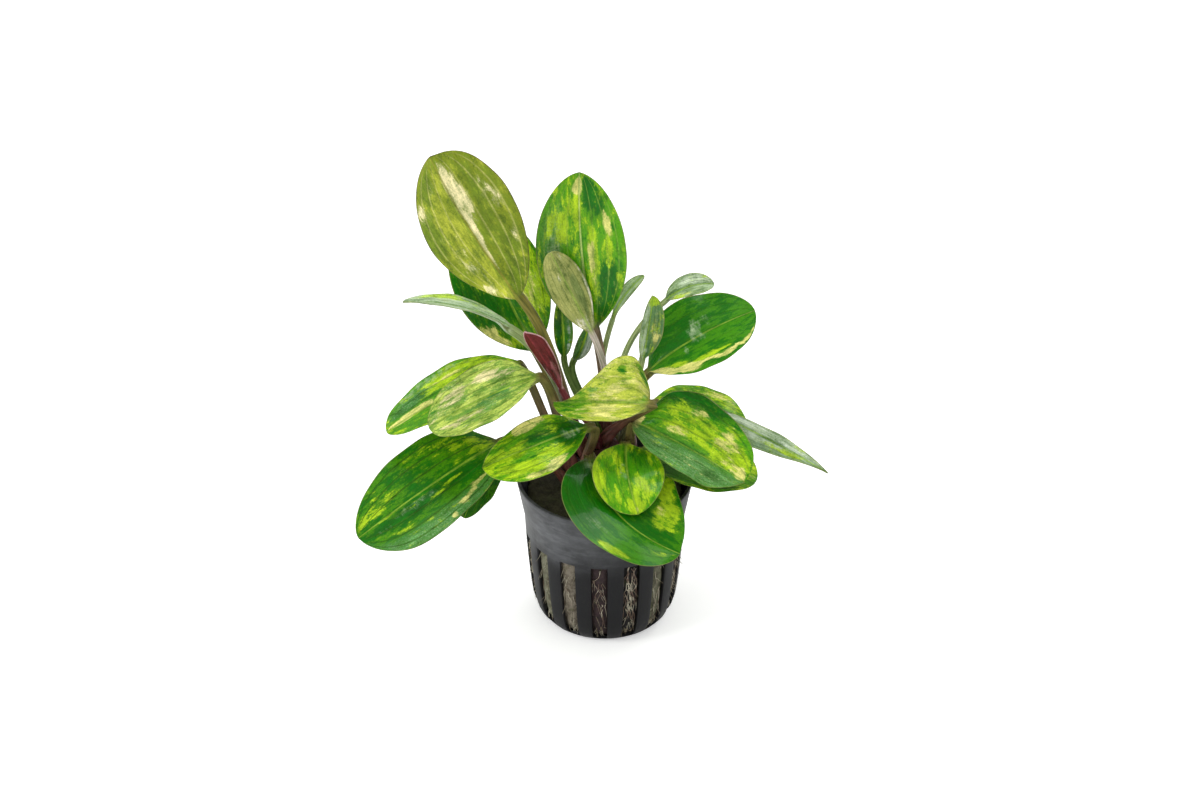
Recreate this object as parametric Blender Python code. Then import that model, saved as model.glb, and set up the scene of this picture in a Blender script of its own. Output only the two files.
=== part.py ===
"""A potted variegated swordplant: net pot, rock wool plug, crown, leaves and one red sheath.

Sizes are in millimetres until a mesh is made. The origin is the middle of the pot's flat base.
+Z is up, and -Y is the side that faces the viewer of the reference view.
"""

import math
from dataclasses import dataclass

import bmesh
import bpy
from mathutils import Matrix, Vector

MM = 0.001
UP = Vector((0.0, 0.0, 1.0))

# Net pot
POT_HEIGHT = 50.0
POT_RIM_RADIUS = 27.5
POT_BASE_RADIUS = 16.5
POT_WALL = 1.1
# Radius and height of the outside, from the rim down to the edge of the flat base.
POT_OUTSIDE = (
    (POT_RIM_RADIUS, POT_HEIGHT),
    (27.1, 47.5),
    (25.3, 38.0),
    (25.0, 31.5),
    (24.4, 22.0),
    (23.5, 12.0),
    (22.2, 5.0),
    (20.0, 1.3),
    (POT_BASE_RADIUS, 0.0),
)
SLOT_TOP_ROW = 3
SLOT_BOTTOM_ROW = 7
SLOTS = 15
COLUMNS_IN_SLOT = 2
COLUMNS_IN_RIB = 2
FIRST_SLOT_DEG = -4.0

# Rock wool plug and the well that the crown stands in
GAP = 0.3  # clear space between pieces that touch
WOOL_CLEAR = 0.45  # a little more than the gap, as the plug's side has fewer flats than the pot's
WOOL_TOP = 45.5
WOOL_LUMP = 0.5  # how far the plug's top rises and falls
WOOL_SHOULDER = 1.5  # width of the bevel round the plug's top
WOOL_SPREAD = 0.4  # how much wider the plug is above the pot's plain band
WOOL_COLUMNS = 24
WELL_RADIUS = 8.0
WELL_FLOOR = 40.5

# Crown: radius and height, from its foot up
CROWN_PROFILE = (
    (6.6, WELL_FLOOR + GAP),
    (7.6, 44.0),
    (7.4, 50.0),
    (6.6, 55.0),
    (5.4, 59.5),
    (4.4, 62.5),
    (3.4, 63.5),
)
CROWN_COLUMNS = 18
CROWN_TOP = CROWN_PROFILE[-1][1]

# Leaf sections
ON_TOP = None
STALK_RINGS = 5
BLADE_RINGS = 12
BLADE_THICKNESS = 0.7
RIB_DEPTH = 0.9  # how much thicker the blade is at its midrib, by the neck
STALK_DEPTH_RATIO = 0.85
NECK_BLEND = 0.16  # share of the blade over which the round stalk turns into the flat blade
TIP_HALF_WIDTH = 0.35
BASE_POWER = 0.8  # 0.5 is a round base, 1 is a pointed one
TIP_POWER = 0.58  # 0.4 is a blunt tip, 1 is a pointed one
ACROSS = (-1.0, -0.5, 0.0, 0.5, 1.0)
SHARP_EDGE_DEG = 40.0


COLOURS = {
    "black_plastic": (0.012, 0.013, 0.015),
    "rock_wool": (0.06, 0.05, 0.03),
    "crown_skin": (0.09, 0.02, 0.02),
    "leaf_green": (0.07, 0.22, 0.02),
    "leaf_olive": (0.20, 0.22, 0.05),
    "leaf_beige": (0.33, 0.30, 0.14),
    "sheath_burgundy": (0.16, 0.03, 0.03),
}


@dataclass
class Leaf:
    """One leaf. neck is where the blade begins, tip is its end, and both are places in the pot's frame."""

    name: str
    neck: tuple
    tip: tuple
    width: float
    heading: float  # compass direction, from +X towards +Y, that the back of the leaf faces
    root: float  # compass direction of the stalk's foot on the crown
    foot: float  # height of the stalk's foot, or ON_TOP
    start: float = 75.0  # rise of the stalk where it leaves the crown
    roll: float = 0.0  # turn of the blade about its midrib
    fold: float = 10.0  # how far each half of the blade rises from the midrib
    bow: float = 2.0  # how far the midrib stands above the straight line from neck to tip
    sway: float = 0.0  # how far the midrib bends towards the left margin
    widest: float = 0.52  # how far along the blade its widest place is
    skew: float = 0.0  # how much nearer the tip the left margin's widest place is than the midrib's
    lean: float = 0.0  # how much wider the left half is than half of the width, as a share
    base: float = BASE_POWER
    point: tuple = (TIP_POWER, TIP_POWER)  # the left and the right half's tip power
    stalk: float = 3.0  # width of the stalk
    ease: float = 1.0  # how gently the stalk bends into the blade
    reach: float = 1.8  # distance from the axis of a foot that stands on top of the crown
    colour: str = "leaf_green"


LEAVES = (
    Leaf("leaf_tall_olive", (-25.5, -2, 115), (-50, -6, 162.3), 30, -90, root=192, foot=60, start=70,
         sway=-1.5, bow=0, skew=0.08, lean=0.02, point=(0.36, 0.8), base=0.65, colour="leaf_olive"),
    Leaf("red_sheath", (-13, -5, 84), (-23.8, -7, 105.6), 5.8, -90, root=235, foot=ON_TOP, widest=0.74,
         stalk=2.0, bow=0, sway=0.4, lean=0.25, reach=3.0, start=80, point=(1.3, 0.5),
         colour="sheath_burgundy"),
    Leaf("leaf_tall_glossy", (-3, 5, 99.5), (-7.5, 8, 150.5), 27, 88, root=88, foot=60, start=86,
         sway=1.5, point=(0.6, 0.58)),
    Leaf("leaf_small_beige", (-4, 0, 101), (-16, -3, 130), 11.5, -75, root=60, foot=ON_TOP, start=86,
         stalk=2.0, reach=1.6, colour="leaf_beige"),
    Leaf("leaf_back_left", (-21.5, 19, 83.7), (-41, 30, 128), 29, 95, root=150, foot=57, start=65,
         sway=1.0),
    Leaf("leaf_edge_on", (-28, 6, 99.5), (-61, 6, 108.5), 14, 178, root=162, foot=58, start=78,
         roll=14, bow=3),
    Leaf("leaf_left_outer", (-26, 3.5, 88.7), (-67, -4.5, 68.7), 22.5, 194, root=178, foot=53,
         start=50, roll=-7, bow=1.5, ease=0.3, base=0.65),
    Leaf("leaf_left_inner", (-20, -10.2, 92.3), (-53, -16, 77.5), 25, 190, root=200, foot=56, start=57,
         roll=-14, bow=1.0, ease=0.45, lean=0.03, skew=0.06),
    Leaf("leaf_low_left", (-33, 0, 62.4), (-75, -26, 44), 31, 207, root=186, foot=48, start=45,
         roll=-24, fold=6, bow=1, skew=0.12, lean=0.04, base=0.5, point=(0.5, 0.6)),
    Leaf("leaf_under_left", (-33, 5, 53.5), (-43.5, -13, 42.5), 14, 235, root=156, foot=47.5, start=34),
    Leaf("leaf_front_left", (-5, -13, 76.3), (-36.7, -26, 69.5), 20, 205, root=225, foot=53, start=78,
         roll=-25, bow=0.5, skew=0.08, lean=0.18, point=(0.5, 0.85)),
    Leaf("leaf_centre", (13, -17, 87), (-15.5, -12, 84), 22.5, 170, root=-50, foot=ON_TOP, start=80,
         roll=-27, fold=27, widest=0.38, skew=0.13, lean=-0.13, point=(0.58, 2.8), base=0.35, bow=0,
         reach=3.0),
    Leaf("leaf_upper_right", (13, 8, 83), (46, 14, 101), 28.5, 10, root=35, foot=58, start=80, roll=22,
         lean=-0.03, skew=-0.08),
    Leaf("leaf_narrow_right", (18.8, 32, 94.7), (34.5, 36, 98.4), 9, 20, root=70, foot=56, start=78,
         stalk=1.8, roll=20, widest=0.6, ease=1.5),
    Leaf("leaf_pale_folded", (11.5, 2, 90), (14.5, 4, 111.5), 8.5, 120, root=10, foot=60, start=82,
         stalk=2.0, fold=25, bow=0.5),
    Leaf("leaf_back_thin", (2, 13.5, 97.5), (12, 20, 110), 5, 43, root=106, foot=54, start=82,
         widest=0.68, base=1.2, stalk=1.6),
    Leaf("leaf_right", (9, -9, 75.4), (42.3, -21.5, 61.4), 30, -18, root=-38, foot=54, start=76,
         roll=16, fold=22, bow=1, ease=0.6, skew=-0.14, lean=0.06, point=(0.4, 0.95), base=0.5),
    Leaf("leaf_right_behind", (13.5, 22.5, 61.9), (45.5, 20, 55.4), 25, -4, root=55, foot=49, start=55),
    Leaf("leaf_far_right", (28, 10, 70), (69.4, -3, 52.7), 9, -16, root=4, foot=53, start=58,
         stalk=2.4, bow=1, roll=24, fold=-11, ease=0.6, widest=0.42, skew=0.1, lean=-0.15,
         point=(0.8, 1.4)),
    Leaf("leaf_front_low", (-4.8, -15.5, 66.5), (22.4, -40, 48), 37.6, -50, root=262, foot=49,
         start=75, sway=-8, lean=0.14, skew=0.05, point=(0.38, 0.75)),
    Leaf("leaf_front_small", (6.5, -12, 69.5), (10, -35, 58.8), 22, -82, root=-75, foot=52, start=76,
         sway=-1.5),
    Leaf("leaf_under_right", (11, -4, 62), (46.5, -14, 57.3), 33, -15, root=-12, foot=48, start=65,
         fold=4, roll=-3, lean=-0.12, point=(0.5, 0.5), base=0.6),
    Leaf("leaf_young_left", (-12.5, 9, 87), (-13.5, 9, 108), 6, 100, root=185, foot=ON_TOP, start=80,
         stalk=2.0, reach=2.6),
    Leaf("leaf_young_right", (-9.5, 12, 84), (-5, 12, 96.5), 5, 100, root=132, foot=ON_TOP, start=80,
         stalk=2.0, reach=3.0),
)


def clear_scene():
    for obj in list(bpy.data.objects):
        bpy.data.objects.remove(obj, do_unlink=True)


def material(name, roughness):
    """A plain Principled material in the piece's own colour."""
    made = bpy.data.materials.new(name)
    made.use_nodes = True
    shader = made.node_tree.nodes["Principled BSDF"]
    shader.inputs["Base Color"].default_value = (*COLOURS[name], 1.0)
    shader.inputs["Roughness"].default_value = roughness
    made.diffuse_color = (*COLOURS[name], 1.0)
    return made


def polar(radius, angle_deg, height):
    angle = math.radians(angle_deg)
    return Vector((radius * math.cos(angle), radius * math.sin(angle), height))


def add_object(name, bm, surface):
    """Turns millimetres into metres and puts the mesh in the scene under its name."""
    bmesh.ops.recalc_face_normals(bm, faces=bm.faces)
    bmesh.ops.transform(bm, matrix=Matrix.Scale(MM, 4), verts=bm.verts)
    mesh = bpy.data.meshes.new(name)
    bm.to_mesh(mesh)
    bm.free()
    mesh.shade_smooth()
    mesh.set_sharp_from_angle(angle=math.radians(SHARP_EDGE_DEG))
    mesh.materials.append(surface)
    obj = bpy.data.objects.new(name, mesh)
    bpy.context.scene.collection.objects.link(obj)
    return obj


def inset_profile(profile, wall):
    """The inside of a wall: each corner moved in, square to the profile there."""
    inside = []
    for index, (radius, height) in enumerate(profile):
        before = Vector(profile[max(index - 1, 0)])
        after = Vector(profile[min(index + 1, len(profile) - 1)])
        along = (after - before).normalized()
        inside.append((radius + along.y * wall, height - along.x * wall))
    inside[0] = (profile[0][0] - wall, profile[0][1])
    inside[-1] = (profile[-1][0], profile[-1][1] + wall)
    return inside


def rings_of(bm, profile, angles):
    """One ring of vertices for each corner of a turned profile."""
    return [[bm.verts.new(polar(radius, angle, height)) for angle in angles] for radius, height in profile]


def in_slot(row, column):
    in_height = SLOT_TOP_ROW <= row < SLOT_BOTTOM_ROW
    return in_height and column % (COLUMNS_IN_SLOT + COLUMNS_IN_RIB) < COLUMNS_IN_SLOT


def add_slot_edges(bm, outer, inner, row, column, columns):
    """The four short walls that close a slot cell towards its solid neighbours."""
    right = (column + 1) % columns
    below = row + 1
    if not in_slot(row, (column - 1) % columns):
        bm.faces.new((outer[row][column], outer[below][column], inner[below][column], inner[row][column]))
    if not in_slot(row, right):
        bm.faces.new((outer[below][right], outer[row][right], inner[row][right], inner[below][right]))
    if not in_slot(row - 1, column):
        bm.faces.new((outer[row][right], outer[row][column], inner[row][column], inner[row][right]))
    if not in_slot(below, column):
        bm.faces.new((outer[below][column], outer[below][right], inner[below][right], inner[below][column]))


def make_pot(surface):
    columns = SLOTS * (COLUMNS_IN_SLOT + COLUMNS_IN_RIB)
    step = 360.0 / columns
    angles = [FIRST_SLOT_DEG + step * column for column in range(columns)]
    bm = bmesh.new()
    outer = rings_of(bm, POT_OUTSIDE, angles)
    inner = rings_of(bm, inset_profile(POT_OUTSIDE, POT_WALL), angles)
    for row in range(len(POT_OUTSIDE) - 1):
        for column in range(columns):
            right = (column + 1) % columns
            if in_slot(row, column):
                add_slot_edges(bm, outer, inner, row, column, columns)
                continue
            for ring in (outer, inner):
                upper, lower = ring[row], ring[row + 1]
                bm.faces.new((upper[column], upper[right], lower[right], lower[column]))
    for column in range(columns):
        right = (column + 1) % columns
        bm.faces.new((outer[0][column], outer[0][right], inner[0][right], inner[0][column]))
    bm.faces.new(outer[-1])
    bm.faces.new(inner[-1])
    return add_object("net_pot", bm, surface)


def turned(bm, profile, columns, lump=0.0):
    """A solid turned from a profile whose first and last corners are closed with a flat face."""
    angles = [360.0 * column / columns for column in range(columns)]
    rings = rings_of(bm, profile, angles)
    for ring, (radius, _) in zip(rings, profile):
        for vert, angle in zip(ring, angles):
            wave = math.sin(math.radians(angle * 5) + radius) + math.cos(math.radians(angle * 3) - radius)
            if vert.co.z >= WOOL_TOP:
                vert.co.z += lump * 0.5 * wave
    for upper, lower in zip(rings, rings[1:]):
        for column in range(columns):
            right = (column + 1) % columns
            bm.faces.new((upper[column], upper[right], lower[right], lower[column]))
    bm.faces.new(rings[0])
    bm.faces.new(rings[-1])


def wool_profile():
    """From the floor of the crown's well, over the top, and down the inside of the pot's wall."""
    wall = inset_profile(POT_OUTSIDE, POT_WALL + WOOL_CLEAR)
    wall = [(radius, height) for radius, height in wall if height < WOOL_TOP - WOOL_SHOULDER]
    top_radius = wall[0][0] + WOOL_SPREAD
    return (
        [(WELL_RADIUS, WELL_FLOOR), (WELL_RADIUS, WOOL_TOP), (0.6 * top_radius, WOOL_TOP)]
        + [(top_radius - WOOL_SHOULDER, WOOL_TOP), (top_radius, WOOL_TOP - WOOL_SHOULDER)]
        + wall
    )


def make_wool(surface):
    bm = bmesh.new()
    turned(bm, wool_profile(), WOOL_COLUMNS, WOOL_LUMP)
    return add_object("wool_plug", bm, surface)


def make_crown(surface):
    bm = bmesh.new()
    turned(bm, CROWN_PROFILE, CROWN_COLUMNS)
    return add_object("crown", bm, surface)


def crown_radius(height):
    """Radius of the crown's side at a height."""
    for (low_radius, low), (high_radius, high) in zip(CROWN_PROFILE, CROWN_PROFILE[1:]):
        if low <= height <= high:
            share = (height - low) / (high - low)
            return low_radius + share * (high_radius - low_radius)
    return CROWN_PROFILE[-1][0]


def bezier(points, t):
    """A point on the Bezier curve of any number of control points."""
    points = list(points)
    while len(points) > 1:
        points = [first.lerp(second, t) for first, second in zip(points, points[1:])]
    return points[0]


def side_of(leaf):
    """Level direction towards the leaf's left margin, seen along its heading."""
    heading = math.radians(leaf.heading)
    return Vector((-math.sin(heading), math.cos(heading), 0.0))


def blade_curve(leaf):
    neck, tip = Vector(leaf.neck), Vector(leaf.tip)
    chord = (tip - neck).normalized()
    side = side_of(leaf)
    side = (side - side.dot(chord) * chord).normalized()
    above = chord.cross(side)
    middle = (neck + tip) / 2 + 2 * leaf.bow * above + 2 * leaf.sway * side
    return [neck, middle, tip]


def foot_of(leaf):
    """Where the stalk starts: clear of the crown by the gap."""
    start = math.radians(leaf.start)
    outward = polar(1.0, leaf.root, 0.0)
    if leaf.foot is ON_TOP:
        clear = GAP + leaf.stalk * math.cos(start)
        return outward * leaf.reach + UP * (CROWN_TOP + clear)
    clear = GAP + 0.5 * leaf.stalk * math.sin(start)
    return outward * (crown_radius(leaf.foot) + clear) + UP * leaf.foot


def stalk_curve(leaf, blade):
    foot = foot_of(leaf)
    neck = blade[0]
    reach = (neck - foot).length / 3
    start = math.radians(leaf.start)
    leaving = polar(math.cos(start), leaf.root, math.sin(start))
    arriving = (blade[1] - neck).normalized()
    return [foot, foot + leaving * reach, neck - arriving * reach * leaf.ease, neck]


def half_width(leaf, q, side):
    """Width of one side of the blade at the share q of its length.

    Its outline is two part-ellipses that meet at the widest place.
    """
    widest = leaf.widest + side * leaf.skew
    if q < widest:
        away = (widest - q) / widest
        full = (1 - away**2) ** leaf.base
    else:
        away = (q - widest) / (1 - widest)
        full = (1 - away**2) ** leaf.point[side < 0]
    return max(0.5 * leaf.width * (1 + side * leaf.lean) * full, TIP_HALF_WIDTH)


def smooth(x):
    x = min(max(x, 0.0), 1.0)
    return x * x * (3 - 2 * x)


def section(leaf, blade_share, halves, blend, frame):
    """One closed ring round the leaf: five points on the upper face, three on the lower."""
    place, along, side, above = frame
    turn = Matrix.Rotation(math.radians(leaf.roll * blend), 3, along)
    side, above = turn @ side, turn @ above
    rise = math.tan(math.radians(leaf.fold)) * blend
    rib = RIB_DEPTH * (1 - blade_share)
    ring = []
    for across in ACROSS:
        half = halves[across > 0]
        ring.append(place + side * (half * across) + above * (rise * abs(across) * half))
    for across in ACROSS[-2:0:-1]:
        half = halves[across > 0]
        round_depth = STALK_DEPTH_RATIO * leaf.stalk * math.sqrt(1 - across**2)
        flat_depth = BLADE_THICKNESS + rib * (across == 0.0)
        depth = round_depth + blend * (flat_depth - round_depth)
        ring.append(place + side * (half * across) + above * (rise * abs(across) * half - depth))
    return ring


def frame_at(leaf, curve, t):
    """Place on the midrib, and three directions: along, towards the left margin, above the upper face."""
    step = 0.01
    place = bezier(curve, t)
    along = (bezier(curve, min(t + step, 1.0)) - bezier(curve, max(t - step, 0.0))).normalized()
    side = side_of(leaf)
    side = (side - side.dot(along) * along).normalized()
    return place, along, side, along.cross(side)


def spaced(index, count):
    """Shares of the blade's length, closer together at its two ends."""
    even = index / count
    return 0.4 * even + 0.6 * (1 - math.cos(math.pi * even)) / 2


def leaf_rings(leaf):
    blade = blade_curve(leaf)
    stalk = stalk_curve(leaf, blade)
    rings = []
    for index in range(STALK_RINGS):
        frame = frame_at(leaf, stalk, index / STALK_RINGS)
        rings.append(section(leaf, 0.0, [leaf.stalk / 2] * 2, 0.0, frame))
    for index in range(BLADE_RINGS + 1):
        q = spaced(index, BLADE_RINGS)
        blend = smooth(q / NECK_BLEND)
        halves = [max(half_width(leaf, q, side), leaf.stalk / 2 * (1 - blend)) for side in (-1, 1)]
        rings.append(section(leaf, q, halves, blend, frame_at(leaf, blade, q)))
    return rings


def make_leaf(leaf, surface):
    bm = bmesh.new()
    rings = [[bm.verts.new(point) for point in ring] for ring in leaf_rings(leaf)]
    for lower, upper in zip(rings, rings[1:]):
        for index in range(len(lower)):
            after = (index + 1) % len(lower)
            bm.faces.new((lower[index], lower[after], upper[after], upper[index]))
    bm.faces.new(rings[0])
    bm.faces.new(rings[-1])
    return add_object(leaf.name, bm, surface)


def build():
    clear_scene()
    make_pot(material("black_plastic", 0.38))
    make_wool(material("rock_wool", 0.95))
    make_crown(material("crown_skin", 0.6))
    leaf_colours = sorted({leaf.colour for leaf in LEAVES})
    surfaces = {colour: material(colour, 0.35) for colour in leaf_colours}
    for leaf in LEAVES:
        make_leaf(leaf, surfaces[leaf.colour])


build()
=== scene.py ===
# %% [markdown]
# # A variegated swordplant in a net pot
# This lesson dresses a plain solid model of a small aquarium plant. The pot, the plug of rock wool, the crown
# and every leaf get a finer mesh and a procedural material. All sizes are real ones.
#
# The frame holds the solids that we have to match, so we load it first.

# %% Load the frame
import math
import random
from dataclasses import dataclass

import bpy
import numpy as np
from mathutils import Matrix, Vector, noise


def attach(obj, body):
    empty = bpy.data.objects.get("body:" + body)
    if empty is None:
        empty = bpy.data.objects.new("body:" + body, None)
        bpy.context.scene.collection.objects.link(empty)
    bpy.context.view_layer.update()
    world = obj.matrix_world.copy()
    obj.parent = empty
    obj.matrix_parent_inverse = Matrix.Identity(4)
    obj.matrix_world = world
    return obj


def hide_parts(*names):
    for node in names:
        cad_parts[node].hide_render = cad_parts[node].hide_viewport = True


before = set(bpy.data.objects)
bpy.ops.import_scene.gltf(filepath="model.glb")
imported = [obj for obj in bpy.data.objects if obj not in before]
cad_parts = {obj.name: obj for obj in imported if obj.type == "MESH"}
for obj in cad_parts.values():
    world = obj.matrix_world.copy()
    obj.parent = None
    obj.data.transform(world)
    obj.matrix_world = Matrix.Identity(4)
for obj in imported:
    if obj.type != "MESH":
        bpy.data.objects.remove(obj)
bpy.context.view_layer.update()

MM = 0.001

# %% [markdown]
# ## The camera
# The plant is seen from a little above. A 70 mm lens from three quarters of a metre gives a calm perspective.
# The sensor's width sets the scale. The Standard view transform keeps
# white paper white and leaf greens as bright as they are.

# %% Camera
CAMERA_PLACE = (-0.00147, -0.61144, 0.44766)
LOOK_DOWN_DEG = 31.2

bpy.ops.object.camera_add(location=CAMERA_PLACE, rotation=(math.radians(90 - LOOK_DOWN_DEG), 0, 0))
camera = bpy.context.object
camera.name = "camera"
camera.data.lens = 70
camera.data.sensor_width = 36
camera.data.clip_start = 0.01
bpy.context.scene.camera = camera
bpy.context.scene.view_settings.view_transform = "Standard"
print("camera at", tuple(round(v, 3) for v in camera.location))

# %% [markdown]
# ## Helpers for materials
# A procedural material is a chain of small sums on masks and colours, and each sum is a node. The class below wraps
# what a node puts out, so that a sum can be written as one: a * 0.5 + b adds the Math nodes for it. Colours are
# written as red, green and blue, from 0 to 1.

# %% Values and nodes
class Value:
    """What a node puts out. Sums on it add Math nodes to the same tree."""

    def __init__(self, socket):
        self.socket, self.tree = socket, socket.id_data

    def math(self, operation, *terms):
        return Value(add_node(self.tree, "ShaderNodeMath", dict(enumerate(terms)), operation=operation).outputs[0])

    def __add__(self, other):
        return self.math("ADD", self, other)

    def __sub__(self, other):
        return self.math("SUBTRACT", self, other)

    def __rsub__(self, other):
        return self.math("SUBTRACT", other, self)

    def __mul__(self, other):
        return self.math("MULTIPLY", self, other)

    def __truediv__(self, other):
        return self.math("DIVIDE", self, other)

    def __abs__(self):
        return self.math("ABSOLUTE", self)


def put(socket, value):
    """Links a Value to a socket, or fills the socket with a number, a vector or a colour."""
    if isinstance(value, Value):
        value.tree.links.new(value.socket, socket)
    elif socket.type == "RGBA":
        socket.default_value = (*value, 1.0)
    else:
        socket.default_value = value


def add_node(tree, kind, inputs=None, **settings):
    """Adds a node, sets its options and fills its inputs."""
    node = tree.nodes.new(kind)
    for name, value in settings.items():
        setattr(node, name, value)
    for name, value in (inputs or {}).items():
        put(node.inputs[name], value)
    return node


def source(tree, kind, output, **settings):
    """One output of a node that needs no inputs, such as a place or a painted attribute."""
    return Value(add_node(tree, kind, **settings).outputs[output])


print("sum helpers ready")

# %% [markdown]
# Six small functions cover the nodes that every material here is made of: mixing two colours, turning a number into
# a mask, holding it between 0 and 1, noise, and stretching or splitting a place.

# %% Masks and noise
def mix(amount, a, b, blend="MIX"):
    """Colour a where amount is 0, colour b where it is 1. A Mix node takes its colours at inputs 6 and 7."""
    tree = next(value.tree for value in (amount, a, b) if isinstance(value, Value))
    node = add_node(tree, "ShaderNodeMix", {0: amount, 6: a, 7: b}, data_type="RGBA", blend_type=blend)
    return Value(node.outputs[2])


def ramp(value, low, high):
    """0 below low, 1 above high, and a smooth step between them. It also runs downwards."""
    node = add_node(value.tree, "ShaderNodeMapRange", {0: value, 1: low, 2: high}, interpolation_type="SMOOTHSTEP")
    return Value(node.outputs[0])


def limit(value):
    return Value(add_node(value.tree, "ShaderNodeClamp", {0: value}).outputs[0])


def speckle(place, scale, detail=2.0, rough=0.5, output=0):
    """Cloudy noise from 0 to 1. The output Color holds three noises."""
    settings = {"Vector": place, "Scale": scale, "Detail": detail, "Roughness": rough}
    return Value(add_node(place.tree, "ShaderNodeTexNoise", settings).outputs[output])


def stretch(place, factors):
    node = add_node(place.tree, "ShaderNodeVectorMath", {0: place, 1: factors}, operation="MULTIPLY")
    return Value(node.outputs[0])


def split(value):
    return [Value(output) for output in add_node(value.tree, "ShaderNodeSeparateXYZ", {0: value}).outputs]


print("mask helpers ready")

# %% [markdown]
# Each finish is a node group with named inputs. It puts out a colour, a roughness and a height, and the material
# feeds them to its Principled shader, the height through a Bump node. What is the same all over a surface, such as
# the strength of its clear coat, is set on the shader itself.

# %% Groups and materials
GROUP_OUTPUTS = {"Color": "NodeSocketColor", "Roughness": "NodeSocketFloat", "Height": "NodeSocketFloat"}


def new_group(name, inputs):
    """Starts a node group. inputs maps each name to its first value. Gives its tree and its inputs as Values."""
    tree = bpy.data.node_groups.new(name, "ShaderNodeTree")
    for socket, value in inputs.items():
        is_colour = isinstance(value, tuple)
        kind = "NodeSocketColor" if is_colour else "NodeSocketFloat"
        made = tree.interface.new_socket(socket, in_out="INPUT", socket_type=kind)
        made.default_value = (*value, 1.0) if is_colour else value
    for socket, kind in GROUP_OUTPUTS.items():
        tree.interface.new_socket(socket, in_out="OUTPUT", socket_type=kind)
    given = tree.nodes.new("NodeGroupInput").outputs
    return tree, {socket: Value(given[socket]) for socket in inputs}


def close_group(tree, colour, roughness, height):
    add_node(tree, "NodeGroupOutput", {"Color": colour, "Roughness": roughness, "Height": height})
    return tree


def object_place(tree):
    return source(tree, "ShaderNodeTexCoord", "Object")


def new_material(name, group, values, bump_mm, finish):
    """A material from a node group and its values. finish holds the shader's own settings."""
    made = bpy.data.materials.new(name)
    made.use_nodes = True
    tree = made.node_tree
    pattern = add_node(tree, "ShaderNodeGroup", node_tree=group)
    for socket, value in values.items():
        put(pattern.inputs[socket], value)
    colour, roughness, height = (Value(pattern.outputs[socket]) for socket in GROUP_OUTPUTS)
    bump = add_node(tree, "ShaderNodeBump", {"Distance": bump_mm * MM, "Height": height})
    look = {"Base Color": colour, "Roughness": roughness, "Normal": Value(bump.outputs["Normal"])}
    for socket, value in {**look, **finish}.items():
        put(tree.nodes["Principled BSDF"].inputs[socket], value)
    return made


print("group outputs:", list(GROUP_OUTPUTS))

# %% [markdown]
# ## Floor and light
# The floor is a wide sheet of pale paper with a fine tooth. A little glow that only the camera sees keeps it white
# where the plant's shadow falls, so the shadow stays faint.

# %% Floor
FLOOR_WIDTH = 5.0
FLOOR_GLOW = 0.4


def paper_group():
    tree, given = new_group("Paper", {"Tint": (0.93, 0.93, 0.93)})
    tooth = speckle(object_place(tree), 900.0)
    return close_group(tree, mix(tooth * 0.02, given["Tint"], (0.8, 0.8, 0.8)), tooth * 0.1 + 0.8, tooth)


bpy.ops.mesh.primitive_plane_add(size=FLOOR_WIDTH, location=(0, 0, 0))
floor = bpy.context.object
floor.name = "floor"
PAPER = {"Specular IOR Level": 0.2, "Emission Color": (1.0, 1.0, 1.0)}
paper = new_material("floor_paper", paper_group(), {}, 0.02, PAPER)
camera_ray = source(paper.node_tree, "ShaderNodeLightPath", "Is Camera Ray")
put(paper.node_tree.nodes["Principled BSDF"].inputs["Emission Strength"], camera_ray * FLOOR_GLOW)
floor.data.materials.append(paper)
print("floor is", round(floor.dimensions.x, 2), "m wide")

# %% [markdown]
# Three soft panels stand at the left, at the right behind, and above. Their reflections give part of the white sheen
# on the leaves; the rest is painted highlight in the leaves' colour. The surroundings give even light as well. They
# look white to the camera, but are dim in reflections: otherwise every leaf would wear a pale veil, and its greens
# would fade.

# %% Light
PLANT_MIDDLE = (0.0, 0.0, 0.08)
PANELS = {  # place, width and height in metres, and power in watts
    "panel_left": ((-0.75, -0.35, 0.55), 0.3, 0.5, 3.0),
    "panel_back": ((0.65, 0.5, 0.9), 0.5, 0.3, 1.8),
    "panel_top": ((-0.1, 0.1, 1.1), 0.4, 0.4, 2.4),
}
EVEN_LIGHT, MORE_FOR_CAMERA, LESS_IN_REFLECTIONS = 0.84, 0.18, 0.74


def add_panel(name, place, width, height, power):
    """A soft panel light that faces the plant."""
    direction = Vector(PLANT_MIDDLE) - Vector(place)
    bpy.ops.object.light_add(type="AREA", location=place, rotation=direction.to_track_quat("-Z", "Y").to_euler())
    light = bpy.context.object
    light.name = name
    light.data.shape = "RECTANGLE"
    light.data.size, light.data.size_y = width, height
    light.data.energy = power


for name, settings in PANELS.items():
    add_panel(name, *settings)
world = bpy.data.worlds.new("studio")
bpy.context.scene.world = world
world.use_nodes = True
surroundings = world.node_tree.nodes["Background"]
put(surroundings.inputs["Color"], (1.0, 1.0, 1.0))
rays = add_node(world.node_tree, "ShaderNodeLightPath").outputs
seen = Value(rays["Is Camera Ray"]) * MORE_FOR_CAMERA + EVEN_LIGHT
put(surroundings.inputs["Strength"], seen - Value(rays["Is Glossy Ray"]) * LESS_IN_REFLECTIONS)
print("lights:", list(PANELS))

# %% [markdown]
# ## Turned shapes
# The pot, the plug and the crown are all round. By hand each one is a circle that is extruded downwards and
# resized, ring after ring, in edit mode. A profile of radius and height in millimetres drives that.

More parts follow.
